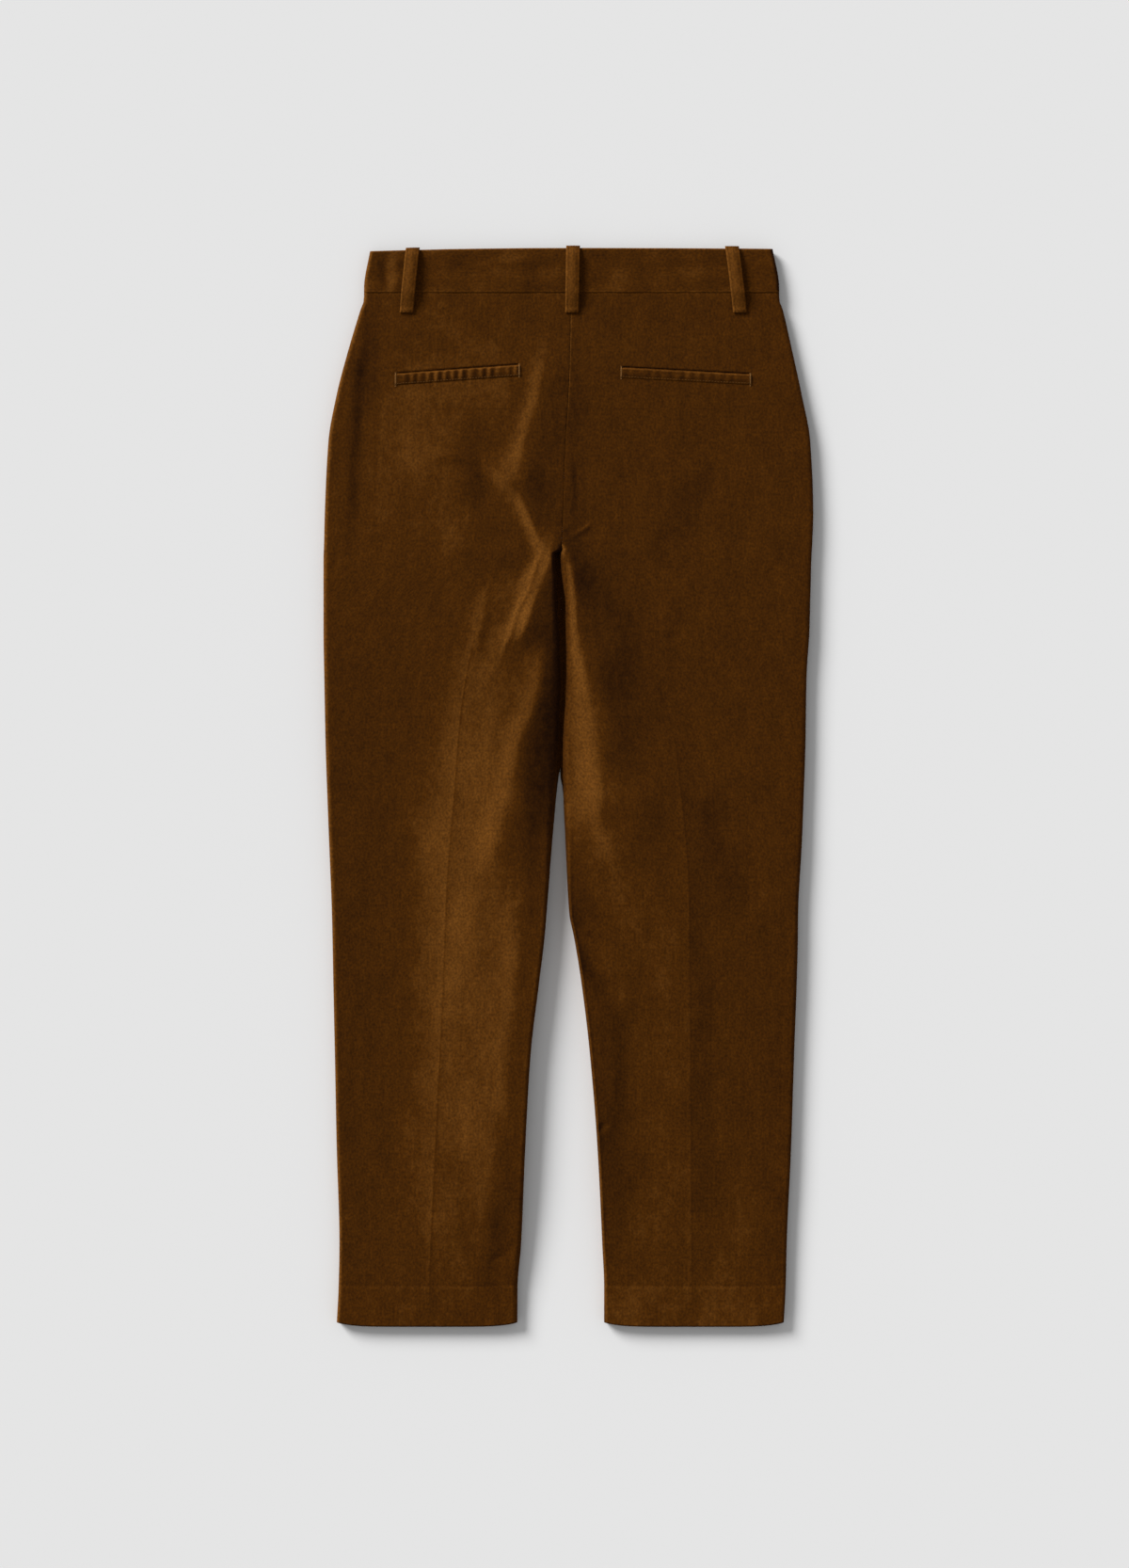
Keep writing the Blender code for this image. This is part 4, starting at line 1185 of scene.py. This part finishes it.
def stitched(tree, sewing, runs, thread):
    """An object of stitches along runs of world points."""
    points, strips = [], []
    for run in runs:
        strips += [(len(points) + step, len(points) + step + 1) for step in range(len(run) - 1)]
        points += [tuple(point) for point in run]
    data = bpy.data.meshes.new(sewing.name)
    data.from_pydata(points, strips, [])
    thing = in_scene(sewing.name, data)
    needle = thing.modifiers.new("sewing", "NODES")
    needle.node_group = tree
    values = {"Stitch Length": sewing.length * MM, "Stitch Gap": sewing.gap * MM,
              "Thread Width": sewing.width * MM, "Slant": sewing.slant,
              "Unevenness": UNEVEN_STITCHES, "Seed": sewing.seed, "Thread": thread}
    for socket in tree.interface.items_tree:
        if socket.in_out == "INPUT" and socket.name in values:
            needle[socket.identifier] = values[socket.name]
    sewn = bpy.data.meshes.new_from_object(thing.evaluated_get(bpy.context.evaluated_depsgraph_get()))
    thing.modifiers.clear()
    thing.data = sewn
    sewn.name = sewing.name
    return thing


def on_back(side, x, down, lift):
    """World points a little above the finished back."""
    z = back_height(side, x, down) + fine_relief(side, x, down) + lift
    return place(side, x, down, z)


def seat_seam_run():
    """Stitches of the centre back seam that show between the two panels."""
    down = np.linspace(BAND_DEPTH + SEAT_STITCHES[0], BAND_DEPTH + SEAT_STITCHES[1], 40)
    x = EDGE["left_in"](down)
    return place(LEFT, x, down, back_height(LEFT, x, down) - SEAT_STITCH_SUNK)


def bar_tack_run(welt, end_x, other_x):
    """Close tacks over the end of a welt at end_x."""
    side = side_of(welt)
    end_x += math.copysign(TACK_INSET, end_x - other_x)
    _, opening = along_welt(welt, end_x)
    down = np.linspace(opening - TACK_OVER, opening + welt.depth + TACK_OVER, 22)
    x = np.full(down.shape, end_x)
    from_ends = np.minimum(down - opening, opening + welt.depth - down)
    lift = TACK_BED + TACK_RISE * np.clip(from_ends, 0.0, 1.0)
    return place(side, x, down, back_height(side, x, down) + soft_relief(x, down) + lift)


def welt_edge_run(welt):
    """Edge stitches along the lower edge of a welt."""
    t = np.linspace(0.01, 0.99, 90)
    x, down = on_welt(welt, t, welt.depth - WELT_STITCH_INSET)
    thickness = WELT_LIFT + WELT_CLOTH + (1.0 - PANEL_GATHER) * welt_ripple(welt, t)
    return on_back(side_of(welt), x, down, WELT_STITCH_SWELL * thickness + STITCH_LIFT)


def fly_run():
    """The curved row of stitches that holds the fly, on the left front."""
    row_x = float(EDGE["left_in"](FLY_END)) - FLY_ROW_INSET
    turn_down = FLY_END - FLY_TURN
    down = np.linspace(BAND_DEPTH + FLY_START, turn_down, 30)
    angle = np.linspace(0.0, math.pi / 2.0, 20)[1:]
    curve_x = row_x + FLY_STITCH * FLY_CURVE[0] * (1.0 - np.cos(angle))
    x = np.concatenate([np.full(down.shape, row_x), curve_x])
    down = np.concatenate([down, turn_down + FLY_TURN * FLY_CURVE[1] * np.sin(angle)])
    z = np.maximum(front_height(LEFT, x, down) + STITCH_LIFT, FLY_SEWING.width / 2.0)
    return place(LEFT, x, down, z)


def hem_run(side):
    """Small blind stitches along a hem, on the back."""
    outer, inner = panel_edges(side, HEM_LINE, False)
    inset = math.copysign(HEM_STITCH_INSET, inner - outer)
    x = np.linspace(outer + inset, inner - inset, 60)
    return on_back(side, x, np.full(x.shape, HEM_LINE), -STITCH_LIFT)


def button_run(along):
    """A strand of thread between two holes of the waist button."""
    centre = float(EDGE["left_in"](BUTTON_DOWN))
    x = np.linspace(centre - BUTTON_HOLE_SPACING, centre + BUTTON_HOLE_SPACING, 6)
    y = np.full(x.shape, MIDDLE_DOWN - (BUTTON_DOWN + along * BUTTON_HOLE_SPACING))
    return np.stack([x, y, np.full(x.shape, BUTTON_THREAD_Z)], axis=-1) * MM


# ---- materials
def mixed(tree, share, first, second, blend="MIX"):
    """Colour from a Mix node."""
    node = added(tree, "ShaderNodeMix", {"data_type": "RGBA", "blend_type": blend})
    feed(tree, node.inputs[0], share)
    feed(tree, node.inputs[6], first)
    feed(tree, node.inputs[7], second)
    return node.outputs[2]


def clamped(tree, value):
    return added(tree, "ShaderNodeClamp", Value=value)


def mapped(tree, value, low, high, to_low, to_high):
    """A linear Map Range node, which stays within its range."""
    return added(tree, "ShaderNodeMapRange", Value=value, From_Min=low, From_Max=high,
                 To_Min=to_low, To_Max=to_high)


def cloth_noise(tree, across, along, across_size, along_size):
    """Noise on the cloth map whose grains are so many millimetres across and along the wales."""
    spot = added(tree, "ShaderNodeCombineXYZ", X=maths(tree, "DIVIDE", across, across_size * MM),
                 Y=maths(tree, "DIVIDE", along, along_size * MM))
    return added(tree, "ShaderNodeTexNoise", {"noise_dimensions": "2D"}, Vector=spot, Scale=1.0,
                 Detail=1.0)


PILE_INPUTS = {"Cloth Map": "Vector", "Nap": "Float", "Wale Pitch": "Float", "Grain": "Float",
               "Dark": "Color", "Middle": "Color", "Light": "Color"}
PILE_OUTPUTS = {"Color": "Color", "Roughness": "Float", "Height": "Float"}
# Grains across and along the wales: wobble, streak, grain, mottle and cloud.
PILE_NOISES = [(5.0, 14.0), (5.0, 60.0), (2.0, 2.4), (6.0, 7.0), (20.0, 27.0)]
MOTTLE_TONE = 0.12          # how far mottle and cloud move the nap's tone
CLOUD_TONE = 0.09
RIB_PAINTED_SHADE = (0.78, 1.11)   # painted shade between two wales and painted light on top of one
STREAK_SHADES = (0.93, 1.07)


def pile_group():
    """Corduroy pile on a cloth map: wales with painted shade between them, brushed streaks, mottled tone
    and grain.
    """
    tree = bpy.data.node_groups.new("fine_wale_pile", "ShaderNodeTree")
    tree_sockets(tree, PILE_INPUTS, PILE_OUTPUTS)
    given = tree.nodes.new("NodeGroupInput").outputs
    split = added(tree, "ShaderNodeSeparateXYZ", Vector=given["Cloth Map"])
    across, along = split.outputs[0], split.outputs[1]

    wobble, streak, grain, mottle, cloud = (
        cloth_noise(tree, across, along, *size) for size in PILE_NOISES)
    count = plus(tree, maths(tree, "DIVIDE", across, given["Wale Pitch"]), times(tree, wobble, 0.7))
    rib = maths(tree, "ABSOLUTE", maths(tree, "SINE", times(tree, count, math.pi)))

    tone = plus(tree, given["Nap"], mapped(tree, mottle, 0.0, 1.0, -MOTTLE_TONE, MOTTLE_TONE),
                mapped(tree, cloud, 0.0, 1.0, -CLOUD_TONE, CLOUD_TONE))
    # colour from the painted-shade copy of the cloth through the flat one to the painted-light copy
    doubled = times(tree, tone, 2.0)
    colour = mixed(tree, clamped(tree, doubled), given["Dark"], given["Middle"])
    colour = mixed(tree, clamped(tree, maths(tree, "SUBTRACT", doubled, 1.0)), colour, given["Light"])

    speck = times(tree, maths(tree, "SUBTRACT", grain, 0.5), given["Grain"])
    # painted shade between the wales, times the brushed streaks and the grain
    shade = times(tree, mapped(tree, rib, 0.0, 1.0, *RIB_PAINTED_SHADE),
                  mapped(tree, streak, 0.2, 0.8, *STREAK_SHADES), plus(tree, speck, 1.0))
    even = added(tree, "ShaderNodeCombineColor", Red=shade, Green=shade, Blue=shade)
    colour = mixed(tree, 1.0, colour, even, "MULTIPLY")

    height = plus(tree, rib, times(tree, grain, 0.8), times(tree, mottle, 0.8))
    added(tree, "NodeGroupOutput", Color=colour, Roughness=mapped(tree, grain, 0.2, 0.8, 0.80, 0.96),
          Height=height)
    return tree


def new_material(name):
    made = bpy.data.materials.new(name)
    made.use_nodes = True
    return made, made.node_tree, made.node_tree.nodes["Principled BSDF"]


def raised_normal(tree, height, strength, distance):
    return added(tree, "ShaderNodeBump", Strength=strength, Distance=distance, Height=height)


def object_noise(tree, stretch, detail):
    """Noise on a piece's own coordinates, stretched along its axes."""
    where = tree.nodes.new("ShaderNodeTexCoord")
    turned = added(tree, "ShaderNodeMapping", Scale=stretch, Vector=where.outputs["Object"])
    return added(tree, "ShaderNodeTexNoise", Scale=1.0, Detail=detail, Vector=turned)


def corduroy_material():
    """Tobacco corduroy on a piece's own cloth map and nap tone, which carries painted light and shade."""
    made, tree, shader = new_material("tobacco_corduroy")
    cloth = added(tree, "ShaderNodeUVMap", {"uv_map": "cloth"})
    # the nap tone attribute, with the painted light and shade of slopes, folds and edges
    nap = added(tree, "ShaderNodeAttribute", {"attribute_name": "nap"})
    pile = added(tree, "ShaderNodeGroup", {"node_tree": pile_group()},
                 Cloth_Map=cloth, Nap=nap.outputs["Fac"], Wale_Pitch=WALE_PITCH,
                 Grain=1.1, Dark=SHADED_NAP_COLOUR, Middle=NAP_MIDDLE, Light=LIT_NAP_COLOUR)
    fed(tree, shader, Base_Color=pile.outputs["Color"], Roughness=pile.outputs["Roughness"],
        Normal=raised_normal(tree, pile.outputs["Height"], 0.35, 0.25 * MM),
        Specular_IOR_Level=0.04, Sheen_Weight=0.10, Sheen_Roughness=0.45,
        Sheen_Tint=SHEEN_TINT)
    return made


def thread_material():
    """Matt cotton thread with a fine twist."""
    made, tree, shader = new_material("tobacco_thread")
    twist = object_noise(tree, (1400.0, 1400.0, 1400.0), 2.0)
    fed(tree, shader, Base_Color=mixed(tree, twist, THREAD_DARK, THREAD),
        Normal=raised_normal(tree, twist, 0.4, 0.1 * MM), Roughness=0.7, Specular_IOR_Level=0.15)
    return made


def horn_material():
    """Dark horn: long soft streaks under a satin face."""
    made, tree, shader = new_material("dark_horn")
    streaks = object_noise(tree, (160.0, 700.0, 300.0), 4.0)
    share = mapped(tree, streaks, 0.35, 0.7, 0.0, 1.0)
    fed(tree, shader, Base_Color=mixed(tree, share, HORN_DARK, HORN_LIGHT),
        Roughness=mapped(tree, streaks, 0.2, 0.8, 0.30, 0.42))
    return made


def floor_material():
    """Pale matt paper."""
    made, tree, shader = new_material("pale_floor")
    fed(tree, shader, Base_Color=(FLOOR, FLOOR, FLOOR, 1.0), Roughness=1.0, Specular_IOR_Level=0.0)
    return made


# ---- cut sizes
PANEL_TURN = 8.0            # cloth of a panel that goes round its two folded edges
BAND_TURN = 3.5             # cloth of the band that goes round one side edge
WELT_TURN = 1.4             # cloth of a welt in its two folded edges
ARCH_CLOTH = 4.0            # cloth that the arch of a back loop takes

Cut = namedtuple("Cut", "width length area")


def panel_cut(side, front):
    """Finished cut of a panel, from its laid widths and its length."""
    down = np.linspace(BAND_DEPTH, OUTSEAM, 400)
    outer, inner = edges(side, down)
    width = np.abs(outer - inner) + PANEL_TURN
    if front:
        lap = FLY_LAP * smooth_step((FLY_END - down) / FLY_BLEND)
        width = width - OUTWARD[side] * lap
    length = OUTSEAM - BAND_DEPTH
    return Cut(float(width.max()), length, float(width.mean()) * length)


def band_cut(sides, front):
    """Finished cut of a length of waistband."""
    outer, inner = (float(edge) for edge in edges(sides[0], BAND_DEPTH / 2.0))
    if front:
        width = abs(outer - inner) - OUTWARD[sides[0]] * FLY_LAP + BAND_TURN
    else:
        width = abs(outer - float(EDGE[sides[1] + "_out"](BAND_DEPTH / 2.0))) + 2.0 * BAND_TURN
    return Cut(width, BAND_DEPTH, width * BAND_DEPTH)


def strip_cut(width, length):
    return Cut(width, length, width * length)


# ---- stage
def make_floor():
    """A level floor that reaches FLOOR_REACH every way."""
    mesh = bpy.data.meshes.new("floor")
    mesh.from_pydata([(x * FLOOR_REACH, y * FLOOR_REACH, 0.0)
                      for x, y in ((-1, -1), (1, -1), (1, 1), (-1, 1))], [], [(0, 1, 2, 3)])
    mesh.materials.append(floor_material())
    floor = in_scene("floor", mesh)


def make_light():
    """One soft light from the upper left and even fill from all round."""
    open_floor = FLOOR_BRIGHTNESS / FLOOR
    world = bpy.data.worlds.new("studio")
    world.use_nodes = True
    fed(world.node_tree, world.node_tree.nodes["Background"], Color=(1.0, 1.0, 1.0, 1.0),
        Strength=open_floor * FILL_SHARE)
    bpy.context.scene.world = world

    lamp = bpy.data.lights.new("key", "SUN")
    lamp.energy = open_floor * (1.0 - FILL_SHARE) * math.pi / math.sin(LIGHT_HEIGHT)
    lamp.angle = LIGHT_SIZE
    level = math.cos(LIGHT_HEIGHT) * math.sqrt(0.5)
    travel = Vector((level, -level, -math.sin(LIGHT_HEIGHT)))
    in_scene("key", lamp).rotation_euler = travel.to_track_quat("-Z", "Y").to_euler()


def make_camera():
    """Straight above the garment, with the waist at the top of the view."""
    lens = bpy.data.cameras.new("camera")
    lens.sensor_width = SENSOR
    lens.lens = SENSOR * CAMERA_DISTANCE / FRAME_LENGTH
    camera = in_scene("camera", lens)
    camera.location = (*FRAME_MIDDLE, CAMERA_DISTANCE + EDGE_LEVEL)
    bpy.context.scene.camera = camera
    bpy.context.scene.view_settings.view_transform = "Standard"


# ---- the garment
def dress(node, piece, material, cut):
    """Put a cloth piece in its node's place: give it its material, hang it on the body and hide the node's
    solid. Its cut is not used.
    """
    piece.data.materials.append(material)
    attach(piece, BODY)
    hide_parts(node)


def make_cloth(material):
    for side in SIDES:
        dress("back_" + side, make_back(side), material, panel_cut(side, front=False))
        dress("front_" + side, make_front(side), material, panel_cut(side, front=True))
    for band in BANDS:
        cloth = make_band(band.name, band.sides, band.ends, band.columns, band.front)
        dress(band.name, cloth, material, band_cut(band.sides, band.front))
    for loop in BACK_LOOPS:
        dress(loop.name, make_loop(loop, on_back=True), material,
              strip_cut(LOOP_WIDTH, LOOP_LENGTH + ARCH_CLOTH))
    for loop in FRONT_LOOPS:
        dress(loop.name, make_loop(loop, on_back=False), material,
              strip_cut(LOOP_WIDTH, LOOP_LENGTH))
    for welt in WELTS:
        length = math.hypot(welt.to_x - welt.x, welt.to_down - welt.down)
        dress(welt.name, make_welt(welt), material,
              strip_cut(welt.depth + WELT_TURN, length))


def make_sewing(thread):
    tree = stitch_tree()
    for sewing, runs in (
            (SEAT_SEWING, [seat_seam_run()]),
            (TACK_SEWING, [bar_tack_run(welt, *ends) for welt in WELTS
                           for ends in ((welt.x, welt.to_x), (welt.to_x, welt.x))]),
            (WELT_SEWING, [welt_edge_run(welt) for welt in WELTS]),
            (HEM_SEWING, [hem_run(side) for side in SIDES]),
            (FLY_SEWING, [fly_run()]),
            (BUTTON_SEWING, [button_run(along) for along in (-1.0, 1.0)])):
        piece = stitched(tree, sewing, runs, thread)
        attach(piece, BODY)


def finish_button():
    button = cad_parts["waist_button"]
    button.data.materials.clear()
    button.data.materials.append(horn_material())


make_camera()
make_floor()
make_light()
make_cloth(corduroy_material())
make_sewing(thread_material())
finish_button()
